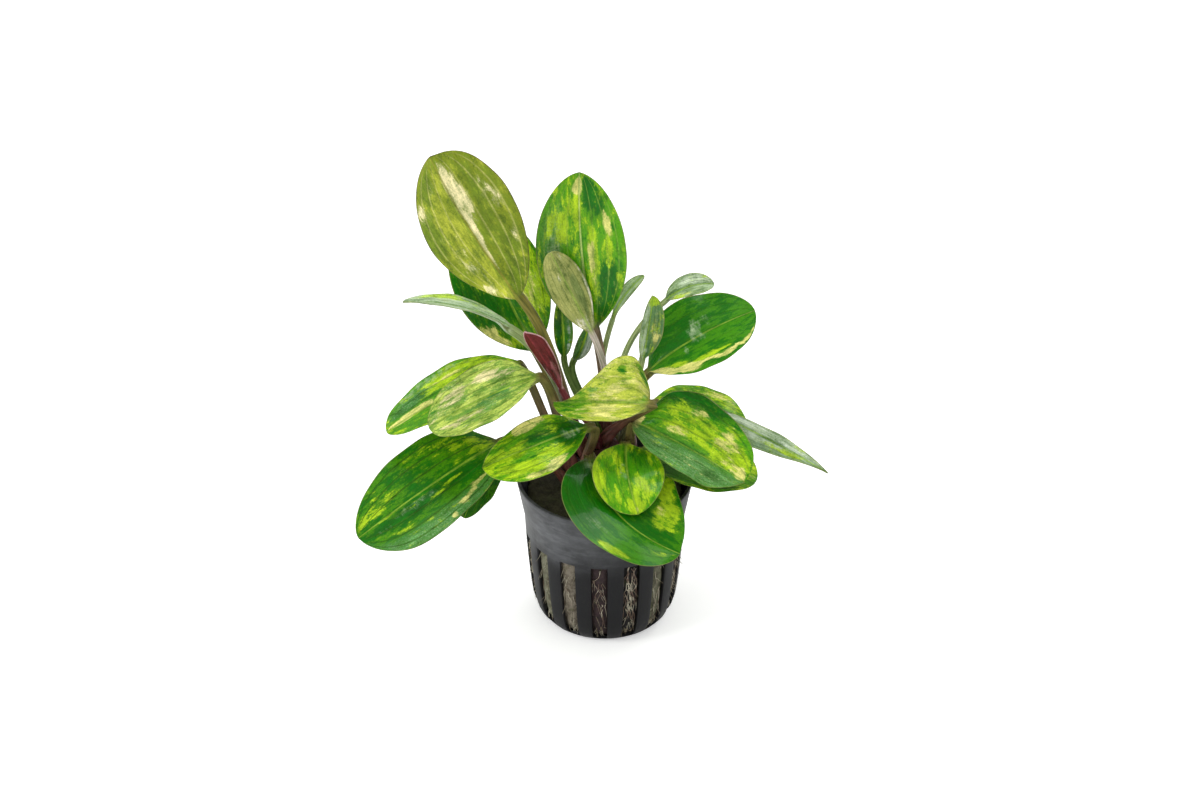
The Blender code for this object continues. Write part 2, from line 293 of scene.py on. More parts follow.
# %% Turning a profile
def turn(name, profile, columns, turn_deg=0.0, closed_top=False):
    """Extrudes a circle down a profile and closes its foot. The profile runs from the top to the bottom."""
    radius, height = profile[0]
    bpy.ops.object.select_all(action="DESELECT")
    bpy.ops.mesh.primitive_circle_add(
        vertices=columns, radius=radius * MM, location=(0, 0, 0), rotation=(0, 0, math.radians(turn_deg))
    )
    piece = bpy.context.object
    piece.name = name
    bpy.ops.object.transform_apply(location=False, rotation=True, scale=False)
    bpy.ops.object.mode_set(mode="EDIT")
    bpy.ops.mesh.select_all(action="SELECT")
    bpy.ops.transform.translate(value=(0, 0, height * MM))
    if closed_top:
        bpy.ops.mesh.edge_face_add()
        bpy.ops.mesh.select_all(action="SELECT")
        bpy.ops.mesh.select_mode(type="EDGE")
    for (wide, high), (narrow, low) in zip(profile, profile[1:]):
        bpy.ops.mesh.extrude_edges_move(TRANSFORM_OT_translate={"value": (0, 0, (low - high) * MM)})
        share = narrow / wide
        bpy.ops.transform.resize(value=(share, share, 1), center_override=(0, 0, low * MM))
    bpy.ops.mesh.edge_face_add()
    bpy.ops.mesh.poke()
    bpy.ops.mesh.select_all(action="SELECT")
    bpy.ops.mesh.normals_make_consistent(inside=False)
    bpy.ops.object.mode_set(mode="OBJECT")
    return piece


def report(piece):
    print(piece.name, "faces:", len(piece.data.polygons), "size mm:", [round(v / MM, 1) for v in piece.dimensions])


print("turning ready")

# %% [markdown]
# ## The net pot
# The real pot is a thin injection moulding of black plastic with a plain band and 15 tall slots that run round
# the lower edge. We turn the outer skin only, delete the faces of the slots, and let a Solidify modifier give the
# wall its thickness. A small bevel catches the light on every edge.

# %% Net pot
POT_WALL, POT_BEVEL = 1.1, 0.22
SLOTS = 15
SLOT_STEP = 360.0 / SLOTS
COLUMNS_A_SLOT = 8
FIRST_SLOT_DEG = -4.0
SLOT_TOP, SLOT_BOTTOM = 31.5, 1.3
POT_OUTSIDE = [
    (27.5, 50.0), (27.45, 49.2), (27.1, 47.5), (26.3, 43.0), (25.6, 39.0), (25.3, 38.0), (25.0, 31.5),
    (24.75, 27.0), (24.4, 22.0), (24.0, 17.0), (23.5, 12.0), (23.0, 8.0), (22.2, 5.0), (21.3, 3.0),
    (20.0, 1.3), (18.5, 0.4), (16.5, 0.0),
]


def select_slots(piece):
    """Selects the faces that stand where a slot is: the first half of each of the 15 steps round the pot."""
    bpy.ops.object.mode_set(mode="EDIT")
    bpy.ops.mesh.select_mode(type="FACE")
    bpy.ops.mesh.select_all(action="DESELECT")
    bpy.ops.object.mode_set(mode="OBJECT")
    for face in piece.data.polygons:
        turn_deg = math.degrees(math.atan2(face.center.y, face.center.x)) - FIRST_SLOT_DEG
        in_height = SLOT_BOTTOM < face.center.z / MM < SLOT_TOP
        face.select = in_height and turn_deg % SLOT_STEP < SLOT_STEP / 2


def apply_modifier(piece, kind, **settings):
    modifier = piece.modifiers.new(kind.lower(), kind)
    for name, value in settings.items():
        setattr(modifier, name, value)
    bpy.context.view_layer.objects.active = piece
    bpy.ops.object.modifier_apply(modifier=modifier.name)


pot = turn("net_pot_shell", POT_OUTSIDE, SLOTS * COLUMNS_A_SLOT, FIRST_SLOT_DEG)
select_slots(pot)
bpy.ops.object.mode_set(mode="EDIT")
bpy.ops.mesh.delete(type="FACE")
bpy.ops.object.mode_set(mode="OBJECT")
apply_modifier(pot, "SOLIDIFY", thickness=POT_WALL * MM, offset=-1.0)
apply_modifier(pot, "BEVEL", width=POT_BEVEL * MM, segments=2, limit_method="ANGLE", angle_limit=math.radians(50))
bpy.ops.object.shade_smooth_by_angle(angle=math.radians(35))
report(pot)

# %% [markdown]
# Moulded black plastic that has been handled is never quite black. It has a satin sheen, faint rub marks and a thin
# grey film with level scuffs in it. The grey is strongest on the band and fades out below it. It is also painted
# lighter on the left side: painted light, as if the left panel lit the pot there.

# %% Plastic material
def plastic_group():
    tree, given = new_group("Handled plastic", {"Plastic": (0.008, 0.008, 0.009), "Film and Light Grey": (0.15, 0.155, 0.165)})
    place = object_place(tree)
    sideways, _, high = split(place)
    cloud = speckle(place, 90.0, 4.0, 0.6)
    grain = speckle(place, 1500.0)
    rubs = speckle(stretch(place, (1.0, 1.0, 0.12)), 700.0, 3.0, 0.6)
    scuffs = speckle(stretch(place, (0.5, 0.5, 2.0)), 240.0, 5.0, 0.7)
    film_and_left_light = ramp(cloud, 0.35, 0.65) * 0.35 + ramp(scuffs, 0.4, 0.7) * 0.35 + 0.3
    # painted light: the grey grows towards the left side, as if lit from the left panel
    film_and_left_light = film_and_left_light * (ramp(sideways, 0.016, -0.024) * 0.85 + 0.15)
    film_and_left_light = film_and_left_light * (ramp(high, 0.026, 0.037) * 0.95 + 0.05)
    colour = mix(film_and_left_light, given["Plastic"], given["Film and Light Grey"])
    return close_group(tree, colour, cloud * 0.25 + rubs * 0.12 + 0.22, grain * 0.5 + rubs)


pot.data.materials.append(new_material("black_moulding", plastic_group(), {}, 0.03, {"Specular IOR Level": 0.2}))
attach(pot, "root")
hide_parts("net_pot")
print("pot material:", pot.data.materials[0].name)

# %% [markdown]
# ## The rock wool plug
# Rock wool is a felt of fine mineral fibres. This plug is wet and dark on top, with a trace of green algae, and
# it swells a little into the slots. A turned solid with a fine mesh is pushed in and out with smooth noise.

# %% Wool plug
WOOL_TOP = 45.5
WELL_FLOOR = 40.5
WOOL_RING_STEP, WOOL_COLUMNS = 0.7, 180
SWELL_DEPTH = 0.75
LUMP_DEPTH, TOP_LUMP_DEPTH, LUMPS_PER_MM = 0.28, 0.28 * 1.6, 0.45
SIDE_STARTS = 12.0


def finer(profile, step):
    """The same profile with a corner at least every step millimetres."""
    dense = [profile[0]]
    for (wide, high), (narrow, low) in zip(profile, profile[1:]):
        parts = max(1, math.ceil(math.hypot(wide - narrow, high - low) / step))
        for part in range(1, parts + 1):
            share = part / parts
            dense.append((wide + (narrow - wide) * share, high + (low - high) * share))
    return dense


WOOL_PROFILE = finer(
    [(0.3, WELL_FLOOR), (7.6, WELL_FLOOR), (8.2, 44.6), (9.2, WOOL_TOP), (22.6, WOOL_TOP), (24.0, 44.6)]
    + [(24.2, 40.0), (23.85, 38.0), (23.5, 31.5), (22.85, 22.0), (21.95, 12.0), (20.6, 5.6), (18.8, 2.3), (16.0, 1.6)],
    WOOL_RING_STEP,
)


def swell(angle_deg, height):
    """How far the wool stands out into a slot, in millimetres."""
    across = abs(((angle_deg - FIRST_SLOT_DEG) % SLOT_STEP) - SLOT_STEP / 4) / (SLOT_STEP / 4)
    in_height = max(0.0, min(1.0, (SLOT_TOP - height) / 2.0)) * max(0.0, min(1.0, (height - 2.5) / 3.0))
    return SWELL_DEPTH * max(0.0, 1.0 - across**4) * in_height


def lumps(x, y, z, per_mm, octaves):
    return noise.fractal(Vector((x, y, z)) * per_mm, 0.9, 2.1, octaves)


def push_wool(piece):
    """Pushes each point in or out by noise, the sides into the slots, and the top up and down."""
    for vert in piece.data.vertices:
        x, y, z = (value / MM for value in vert.co)
        radius = math.hypot(x, y)
        out = LUMP_DEPTH * lumps(x, y, z, LUMPS_PER_MM, 4)
        if radius > SIDE_STARTS and z < SLOT_TOP:
            out += swell(math.degrees(math.atan2(y, x)), z)
        share = (radius + out) / radius if radius > 2.0 else 1.0
        vert.co.x, vert.co.y = x * share * MM, y * share * MM
        if z > WELL_FLOOR - 0.5:
            vert.co.z = (z + TOP_LUMP_DEPTH * lumps(y, x, z, LUMPS_PER_MM, 4)) * MM


wool = turn("rock_wool_plug", WOOL_PROFILE, WOOL_COLUMNS, closed_top=True)
push_wool(wool)
bpy.ops.object.shade_smooth()
report(wool)

# %% [markdown]
# What the slots show is not the same all round: grey-green wool, brown wool, and two slots that are nearly black
# with roots. A colour attribute painted by angle holds that, and the material breaks it up with fibres.

# %% Wool colours
DARK, GREY, BROWN = (0.008, 0.006, 0.006), (0.2, 0.2, 0.135), (0.19, 0.165, 0.125)
PURPLE, OLIVE = (0.04, 0.022, 0.024), (0.13, 0.13, 0.08)
SLOT_COLOURS = (DARK, BROWN, OLIVE, GREY, DARK, BROWN, GREY, OLIVE, OLIVE, GREY, BROWN, PURPLE, DARK, OLIVE, DARK)
WOOL_TOP_COLOUR = (0.052, 0.048, 0.023)
TOP_STARTS = 36.0


def paint_wool(piece):
    """Paints the slots' colours on the sides, and the dark one on the top."""
    attribute = piece.data.color_attributes.new("soil", "FLOAT_COLOR", "POINT")
    for vert, point in zip(piece.data.vertices, attribute.data):
        angle = math.degrees(math.atan2(vert.co.y, vert.co.x))
        index = int(((angle - FIRST_SLOT_DEG + SLOT_STEP / 4) % 360.0) // SLOT_STEP)
        colour = WOOL_TOP_COLOUR if vert.co.z / MM > TOP_STARTS else SLOT_COLOURS[index]
        point.color = (*colour, 1.0)


def wool_group():
    tree, given = new_group("Wet rock wool", {"Fibre": (0.33, 0.29, 0.2), "Algae": (0.05, 0.075, 0.015)})
    place = object_place(tree)
    soil = source(tree, "ShaderNodeAttribute", "Color", attribute_name="soil")
    blotch = speckle(place, 420.0, 4.0, 0.75)
    strands = speckle(stretch(place, (1.0, 1.0, 0.45)), 1300.0, 4.0, 0.75)
    damp = mix(ramp(blotch, 0.4, 0.65), soil, (0.4, 0.36, 0.3), "MULTIPLY")
    fibres = ramp(strands, 0.48, 0.75) * (split(soil)[1] * 2.2)
    algae = ramp(speckle(place, 500.0, 3.0, 0.6), 0.58, 0.7) * 0.35
    colour = mix(algae, mix(fibres, damp, given["Fibre"]), given["Algae"])
    return close_group(tree, colour, blotch * -0.5 + 1.0, strands * 0.8 + blotch)


paint_wool(wool)
wool.data.materials.append(new_material("wet_rock_wool", wool_group(), {}, 0.25, {"Specular IOR Level": 0.35}))
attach(wool, "root")
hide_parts("wool_plug")
print("wool material:", wool.data.materials[0].name)

# %% [markdown]
# ## The crown
# The crown is the short stem that all leaves grow from. It is dark red-brown, and old leaf bases leave rings and
# torn edges on it. The same turning makes it, with rings pressed in by a sine wave.

# %% Crown
CROWN_RING_STEP, CROWN_COLUMNS = 0.55, 72
SCAR_STEP, SCAR_DEPTH = 3.4, 0.22
CROWN_PROFILE = finer(
    [(0.3, 63.3), (2.9, 63.2), (4.3, 62.0), (5.2, 59.5), (6.4, 55.0), (7.2, 50.0), (7.4, 44.5), (6.9, 42.2)]
    + [(6.4, 40.9)],
    CROWN_RING_STEP,
)


def press_rings(piece):
    """Leaf scars: slanting grooves one above the other, with lumps between."""
    for vert in piece.data.vertices:
        x, y, z = (value / MM for value in vert.co)
        radius = math.hypot(x, y)
        if radius <= 2.0:
            continue
        angle = math.atan2(y, x)
        slant = 1.3 * math.sin(angle) + 0.8 * math.sin(2 * angle)
        groove = SCAR_DEPTH * math.sin(2 * math.pi * z / SCAR_STEP + slant) + 0.25 * lumps(x, y, z, 0.5, 3) - 0.2
        share = (radius + groove) / radius
        vert.co.x, vert.co.y = x * share * MM, y * share * MM


def bark_group():
    tree, given = new_group("Plant crown", {"Red": (0.085, 0.016, 0.016), "Brown": (0.05, 0.03, 0.016)})
    place = object_place(tree)
    patches = speckle(place, 220.0, 4.0, 0.6)
    strings = speckle(stretch(place, (1.0, 1.0, 0.15)), 1100.0, 3.0, 0.6)
    base = mix(ramp(patches, 0.4, 0.62), given["Red"], given["Brown"])
    colour = mix(ramp(strings, 0.5, 0.75), base, (0.012, 0.008, 0.006))
    return close_group(tree, colour, strings * 0.3 + 0.4, strings + patches)


crown = turn("plant_crown", CROWN_PROFILE, CROWN_COLUMNS, closed_top=True)
press_rings(crown)
bpy.ops.object.shade_smooth()
crown.data.materials.append(new_material("crown_bark", bark_group(), {}, 0.12, {"Specular IOR Level": 0.4}))
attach(crown, "root")
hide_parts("crown")
report(crown)

# %% [markdown]
# ## How a leaf is described
# A leaf is a stalk and a blade that grow in one piece. Plain numbers in millimetres and degrees give its shape. They
# are the same numbers that the solids were made from, and most of them have a usual value:
#
# - neck and tip are the two ends of the blade, width is its width and heading the compass angle it points in;
# - root, foot and start say where round the crown and how high the stalk leaves it, and how steeply;
# - roll turns the blade about its midrib, fold lifts both halves, bow and sway bend the midrib up and sideways;
# - widest, base and point (left and right) shape the outline, skew and lean make its two halves differ;
# - stalk is the stalk's width, ease how gently it bends into the blade, reach how far out it stands on the crown;
# - wave is how much the margin ripples, and skin names the material.

# %% The leaves
@dataclass
class Leaf:
    name: str
    neck: tuple
    tip: tuple
    width: float
    heading: float
    root: float
    foot: float
    start: float = 75.0
    roll: float = 0.0
    fold: float = 10.0
    bow: float = 2.0
    sway: float = 0.0
    widest: float = 0.52
    skew: float = 0.0
    lean: float = 0.0
    point: tuple = (0.58, 0.58)
    base: float = 0.8
    stalk: float = 3.0
    ease: float = 1.0
    reach: float = 1.8
    wave: float = 0.35
    skin: str = "leaf_skin"


ON_TOP = None
LEAVES = (
    Leaf("leaf_tall_olive", (-25.5, -2, 115), (-50, -6, 162.3), 30, -90, root=192, foot=60, start=70,
         sway=-1.5, bow=0, skew=0.08, lean=0.02, point=(0.36, 0.8), base=0.65, skin="olive_leaf_skin"),
    Leaf("red_sheath", (-13, -5, 84), (-23.8, -7, 105.6), 5.8, -90, root=235, foot=ON_TOP, widest=0.74,
         stalk=2.0, bow=0, sway=0.4, lean=0.25, reach=3.0, start=80, wave=0.1, point=(1.3, 0.5),
         skin="burgundy_sheath_skin"),
    Leaf("leaf_tall_glossy", (-3, 5, 99.5), (-7.5, 8, 150.5), 27, 88, root=88, foot=60, start=86, sway=1.5,
         point=(0.6, 0.58), skin="tall_glossy_leaf_skin"),
    Leaf("leaf_small_beige", (-4, 0, 101), (-16, -3, 130), 11.5, -75, root=60, foot=ON_TOP, start=86,
         stalk=2.0, reach=1.6, wave=0.2, skin="beige_leaf_skin"),
    Leaf("leaf_back_left", (-21.5, 19, 83.7), (-41, 30, 128), 29, 95, root=150, foot=57, start=65,
         sway=1.0),
    Leaf("leaf_edge_on", (-28, 6, 99.5), (-61, 6, 108.5), 14, 178, root=162, foot=58, start=78, roll=14,
         bow=3, wave=0.2, skin="pale_leaf_skin"),
    Leaf("leaf_left_outer", (-26, 3.5, 88.7), (-67, -4.5, 68.7), 22.5, 194, root=178, foot=53, start=50,
         roll=-7, bow=1.5, ease=0.3, base=0.65),
    Leaf("leaf_left_inner", (-20, -10.2, 92.3), (-53, -16, 77.5), 25, 190, root=200, foot=56, start=57,
         roll=-14, bow=1.0, ease=0.45, lean=0.03, skew=0.06, skin="dusty_leaf_skin"),
    Leaf("leaf_low_left", (-33, 0, 62.4), (-75, -26, 44), 31, 207, root=186, foot=48, start=45, roll=-24,
         fold=6, bow=1, skew=0.12, lean=0.04, base=0.5, point=(0.5, 0.6), skin="veined_leaf_skin"),
    Leaf("leaf_under_left", (-33, 5, 53.5), (-43.5, -13, 42.5), 14, 235, root=156, foot=47.5, start=34),
    Leaf("leaf_front_left", (-5, -13, 76.3), (-36.7, -26, 69.5), 20, 205, root=225, foot=53, start=78,
         roll=-25, bow=0.5, skew=0.08, lean=0.18, point=(0.5, 0.85)),
    Leaf("leaf_centre", (13, -17, 87), (-15.5, -12, 84), 22.5, 170, root=-50, foot=ON_TOP, start=80,
         roll=-27, fold=27, widest=0.38, skew=0.13, lean=-0.13, point=(0.58, 2.8), base=0.35, bow=0,
         reach=3.0, skin="centre_leaf_skin"),
    Leaf("leaf_upper_right", (13, 8, 83), (46, 14, 101), 28.5, 10, root=35, foot=58, start=80, roll=22,
         lean=-0.03, skew=-0.08, skin="smooth_leaf_skin"),
    Leaf("leaf_narrow_right", (18.8, 32, 94.7), (34.5, 36, 98.4), 9, 20, root=70, foot=56, start=78,
         stalk=1.8, roll=20, widest=0.6, ease=1.5, wave=0.1, skin="pale_leaf_skin"),
    Leaf("leaf_pale_folded", (11.5, 2, 90), (14.5, 4, 111.5), 8.5, 120, root=10, foot=60, start=82,
         stalk=2.0, fold=25, bow=0.5, wave=0.1, skin="pale_leaf_skin"),
    Leaf("leaf_back_thin", (2, 13.5, 97.5), (12, 20, 110), 5, 43, root=106, foot=54, start=82, widest=0.68,
         base=1.2, stalk=1.6, wave=0.1, skin="pale_leaf_skin"),
    Leaf("leaf_right", (9, -9, 75.4), (42.3, -21.5, 61.4), 30, -18, root=-38, foot=54, start=76, roll=16,
         fold=22, bow=1, ease=0.6, skew=-0.14, lean=0.06, point=(0.4, 0.95), base=0.5),
    Leaf("leaf_right_behind", (13.5, 22.5, 61.9), (45.5, 20, 55.4), 25, -4, root=55, foot=49, start=55),
    Leaf("leaf_far_right", (28, 10, 70), (69.4, -3, 52.7), 9, -16, root=4, foot=53, start=58, stalk=2.4,
         bow=1, roll=24, fold=-11, ease=0.6, widest=0.42, skew=0.1, lean=-0.15, wave=0.4, point=(0.8, 1.4),
         skin="pale_leaf_skin"),
    Leaf("leaf_front_low", (-4.8, -15.5, 66.5), (22.4, -40, 48), 37.6, -50, root=262, foot=49, start=75,
         sway=-8, lean=0.14, skew=0.05, point=(0.38, 0.75), skin="smooth_leaf_skin"),
    Leaf("leaf_front_small", (6.5, -12, 69.5), (10, -35, 58.8), 22, -82, root=-75, foot=52, start=76,
         sway=-1.5, skin="smooth_leaf_skin"),
    Leaf("leaf_under_right", (11, -4, 62), (46.5, -14, 57.3), 33, -15, root=-12, foot=48, start=65, fold=4,
         roll=-3, lean=-0.12, point=(0.5, 0.5), base=0.6),
    Leaf("leaf_young_left", (-12.5, 9, 87), (-13.5, 9, 108), 6, 100, root=185, foot=ON_TOP, start=80,
         stalk=2.0, reach=2.6, wave=0.1, skin="young_leaf_skin"),
    Leaf("leaf_young_right", (-9.5, 12, 84), (-5, 12, 96.5), 5, 100, root=132, foot=ON_TOP, start=80,
         stalk=2.0, reach=3.0, wave=0.1, skin="young_leaf_skin"),
)
print("leaves:", len(LEAVES))

# %% [markdown]
# ## The line that a leaf follows
# Two curves give the midrib: one bows from the neck to the tip of the blade, the other brings the stalk up from
# the crown and bends it into the blade. At every point we also need two directions, one towards the left margin
# and one out of the upper face.

# %% Leaf curves
CROWN_TOP = 63.0
CROWN_HEIGHTS = (40.8, 44.0, 50.0, 55.0, 59.5, 62.5, 63.5)
CROWN_RADII = (6.6, 7.6, 7.4, 6.6, 5.4, 4.4, 3.4)


def unit(vectors):
    return vectors / np.linalg.norm(vectors, axis=-1, keepdims=True)


def bezier(points, t):
    """Points on a Bezier curve of any number of control points, for an array of shares t."""
    points = [np.asarray(point, float)[None, :] for point in points]
    t = np.asarray(t, float)[:, None]
    while len(points) > 1:
        points = [first + (second - first) * t for first, second in zip(points, points[1:])]
    return points[0]


def compass(angle_deg):
    return np.array((math.cos(math.radians(angle_deg)), math.sin(math.radians(angle_deg)), 0.0))


def blade_points(leaf):
    neck, tip = np.array(leaf.neck, float), np.array(leaf.tip, float)
    chord = unit(tip - neck)
    side = compass(leaf.heading + 90)
    side = unit(side - side.dot(chord) * chord)
    above = np.cross(chord, side)
    return [neck, (neck + tip) / 2 + 2 * leaf.bow * above + 2 * leaf.sway * side, tip]


def stalk_points(leaf):
    """The stalk starts just inside the crown, so that it grows out of it."""
    neck, middle, _ = blade_points(leaf)
    outward = compass(leaf.root)
    if leaf.foot is ON_TOP:
        foot = outward * leaf.reach + np.array((0, 0, CROWN_TOP))
    else:
        radius = float(np.interp(leaf.foot, CROWN_HEIGHTS, CROWN_RADII))
        foot = outward * (radius + 0.1 + 0.4 * leaf.stalk) + np.array((0, 0, leaf.foot))
    reach = np.linalg.norm(neck - foot) / 3
    start = math.radians(leaf.start)
    leaving = outward * math.cos(start) + np.array((0, 0, math.sin(start)))
    return [foot, foot + leaving * reach, neck - unit(middle - neck) * reach * leaf.ease, neck]


def frames(leaf, points, t):
    """Places on the line, with the directions to the left margin and out of the upper face."""
    t = np.asarray(t, float)
    along = unit(bezier(points, np.minimum(t + 0.01, 1)) - bezier(points, np.maximum(t - 0.01, 0)))
    side = np.broadcast_to(compass(leaf.heading + 90), along.shape)
    side = unit(side - (side * along).sum(1, keepdims=True) * along)
    return bezier(points, t), side, np.cross(along, side)


print("first stalk starts at", [round(float(v), 1) for v in stalk_points(LEAVES[0])[0]], "mm")

# %% [markdown]
# ## Rows and outline
# A leaf is a pile of rows: closer together near the two ends of the blade, where its outline turns. Half the width
# follows two part-ellipses that meet at the widest place, and the margin ripples a little.

# %% Leaf outline
STALK_ROWS, BLADE_ROWS = 30, 104
NECK_BLEND = 0.16
THINNEST_HALF = 0.12


def smooth(x):
    x = np.clip(x, 0.0, 1.0)
    return x * x * (3 - 2 * x)


def half_widths(leaf, q, side):
    """Half the blade's width at the shares q, on the left (side 1) or on the right (side -1)."""
    widest = leaf.widest + side * leaf.skew
    base = (1 - np.clip((widest - q) / widest, 0, 1) ** 2) ** leaf.base
    tip = (1 - np.clip((q - widest) / (1 - widest), 0, 1) ** 2) ** leaf.point[0 if side > 0 else 1]
    half = 0.5 * leaf.width * (1 + side * leaf.lean)
    return np.maximum(half * np.where(q < widest, base, tip), THINNEST_HALF)


def ripple(leaf, index, q, side):
    """A slow wave of the margin, in millimetres, different for each side of each leaf."""
    phase = 1.7 * index + (2.1 if side > 0 else 0.0)
    slow = np.sin(2 * math.pi * (1.6 * q) + phase)
    return leaf.wave * (slow + 0.5 * np.sin(2 * math.pi * (3.7 * q) + 2.3 * phase))


def leaf_rows(leaf):
    """Share along the blade of each row (negative on the stalk) with its place and directions."""
    stalk_t = np.arange(STALK_ROWS) / STALK_ROWS
    even = np.arange(BLADE_ROWS + 1) / BLADE_ROWS
    q = 0.5 * even + 0.5 * (1 - np.cos(math.pi * even)) / 2
    stalk = frames(leaf, stalk_points(leaf), stalk_t)
    blade = frames(leaf, blade_points(leaf), q)
    return np.concatenate([stalk_t - 1.0, q]), [np.concatenate(pair) for pair in zip(stalk, blade)]


print("rows in a leaf:", STALK_ROWS + BLADE_ROWS + 1)

# %% [markdown]
# ## The cross-section
# Each row runs once round the leaf, over the upper face and back below. The two halves of the blade rise from the
# midrib, which lies in a groove above and stands out as a rib below. The stalk is half round with a flat top,
# clasps the crown at its foot, and turns into the flat blade over a short stretch.

# %% Leaf shape
BLADE_THICKNESS = 0.42
GROOVE_DEPTH, GROOVE_SPREAD = 0.3, 0.55
RIB_DEPTH, RIB_SPREAD = 0.75, 0.9
CHANNEL_DEPTH = 0.3
STALK_DEPTH_SHARE = 0.85
CLASP_STARTS, CLASP_SPAN, CLASP_EXTRA = -0.72, 0.28, 0.7
HALF_ACROSS = (0.02, 0.05, 0.1, 0.17, 0.25, 0.33, 0.41, 0.5, 0.58, 0.66, 0.74, 0.82, 0.89, 0.945, 0.98, 1.0)
ACROSS = np.array([-s for s in reversed(HALF_ACROSS)] + [0.0] + list(HALF_ACROSS))
ROUND = np.concatenate([ACROSS[::-1], ACROSS[1:]])[None, :]
UPPER = np.concatenate([np.ones(len(ACROSS)), np.zeros(len(ACROSS) - 1)])[None, :]
SHARE = np.abs(ROUND)
PATTERN_STEP = 97.0


def bell(across_mm, spread_mm):
    """1 on the midrib, falling to 0 on both sides."""
    return np.exp(-((across_mm / spread_mm) ** 2))


def both_sides(right, left):
    """One value a row for each side, spread over the points of the row."""
    return np.where(ROUND > 0, left[:, None], right[:, None])


def section_heights(leaf, half, blade_q, blend, clasp, waves):
    """Height of each point above the line, in millimetres."""
    gutter = np.sqrt(SHARE**2 + 0.01) - 0.1
    rise = math.tan(math.radians(leaf.fold)) * blend * gutter * half
    rise = rise + waves * blend * SHARE**2 * np.minimum(1, half / 5)
    groove = GROOVE_DEPTH * bell(ROUND * half, GROOVE_SPREAD) * blend * (1 - 0.6 * blade_q)
    channel = CHANNEL_DEPTH * (1 - blend) * (1 - SHARE**2)
    rib = RIB_DEPTH * bell(ROUND * half, RIB_SPREAD) * (1 - 0.85 * blade_q)
    round_depth = STALK_DEPTH_SHARE * leaf.stalk * clasp * np.sqrt(np.clip(1 - SHARE**2, 0, 1))
    flat_depth = (BLADE_THICKNESS + rib) * np.sqrt(np.clip(1 - SHARE**6, 0, 1))
    depth = round_depth + blend * (flat_depth - round_depth)
    return rise - np.where(UPPER > 0, groove + channel, depth)


def leaf_surface(leaf, index):
    """Every point of the leaf, row by row, and what the material needs to know about each."""
    q, (places, side, above) = leaf_rows(leaf)
    blade_q = np.maximum(q, 0.0)
    blend = smooth(blade_q / NECK_BLEND)[:, None]
    rolled = np.radians(leaf.roll) * blend
    side, above = side * np.cos(rolled) + above * np.sin(rolled), above * np.cos(rolled) - side * np.sin(rolled)
    clasp = 1.0 + CLASP_EXTRA * smooth((CLASP_STARTS - q) / CLASP_SPAN)[:, None]
    stalk_half = leaf.stalk / 2 * clasp
    half = both_sides(half_widths(leaf, blade_q, -1), half_widths(leaf, blade_q, 1))
    half = np.where(q[:, None] < 0, stalk_half, np.maximum(half, stalk_half * (1 - blend)))
    waves = both_sides(ripple(leaf, index, blade_q, -1), ripple(leaf, index, blade_q, 1))
    height = section_heights(leaf, half, blade_q[:, None], blend, clasp, waves)
    across_mm = ROUND * half
    points = places[:, None, :] + side[:, None, :] * across_mm[..., None] + above[:, None, :] * height[..., None]
    length = np.concatenate([[0], np.cumsum(np.linalg.norm(np.diff(places, axis=0), axis=1))])[:, None]
    along_mm = (length + PATTERN_STEP * index) * np.ones_like(half)
    facts = {
        "leaf_place": np.stack([across_mm, along_mm, (1 - SHARE) * half], -1),
        "leaf_share": np.stack(np.broadcast_arrays(ROUND, q[:, None], UPPER), -1),
    }
    return points, facts


print("points round a row:", ROUND.size)
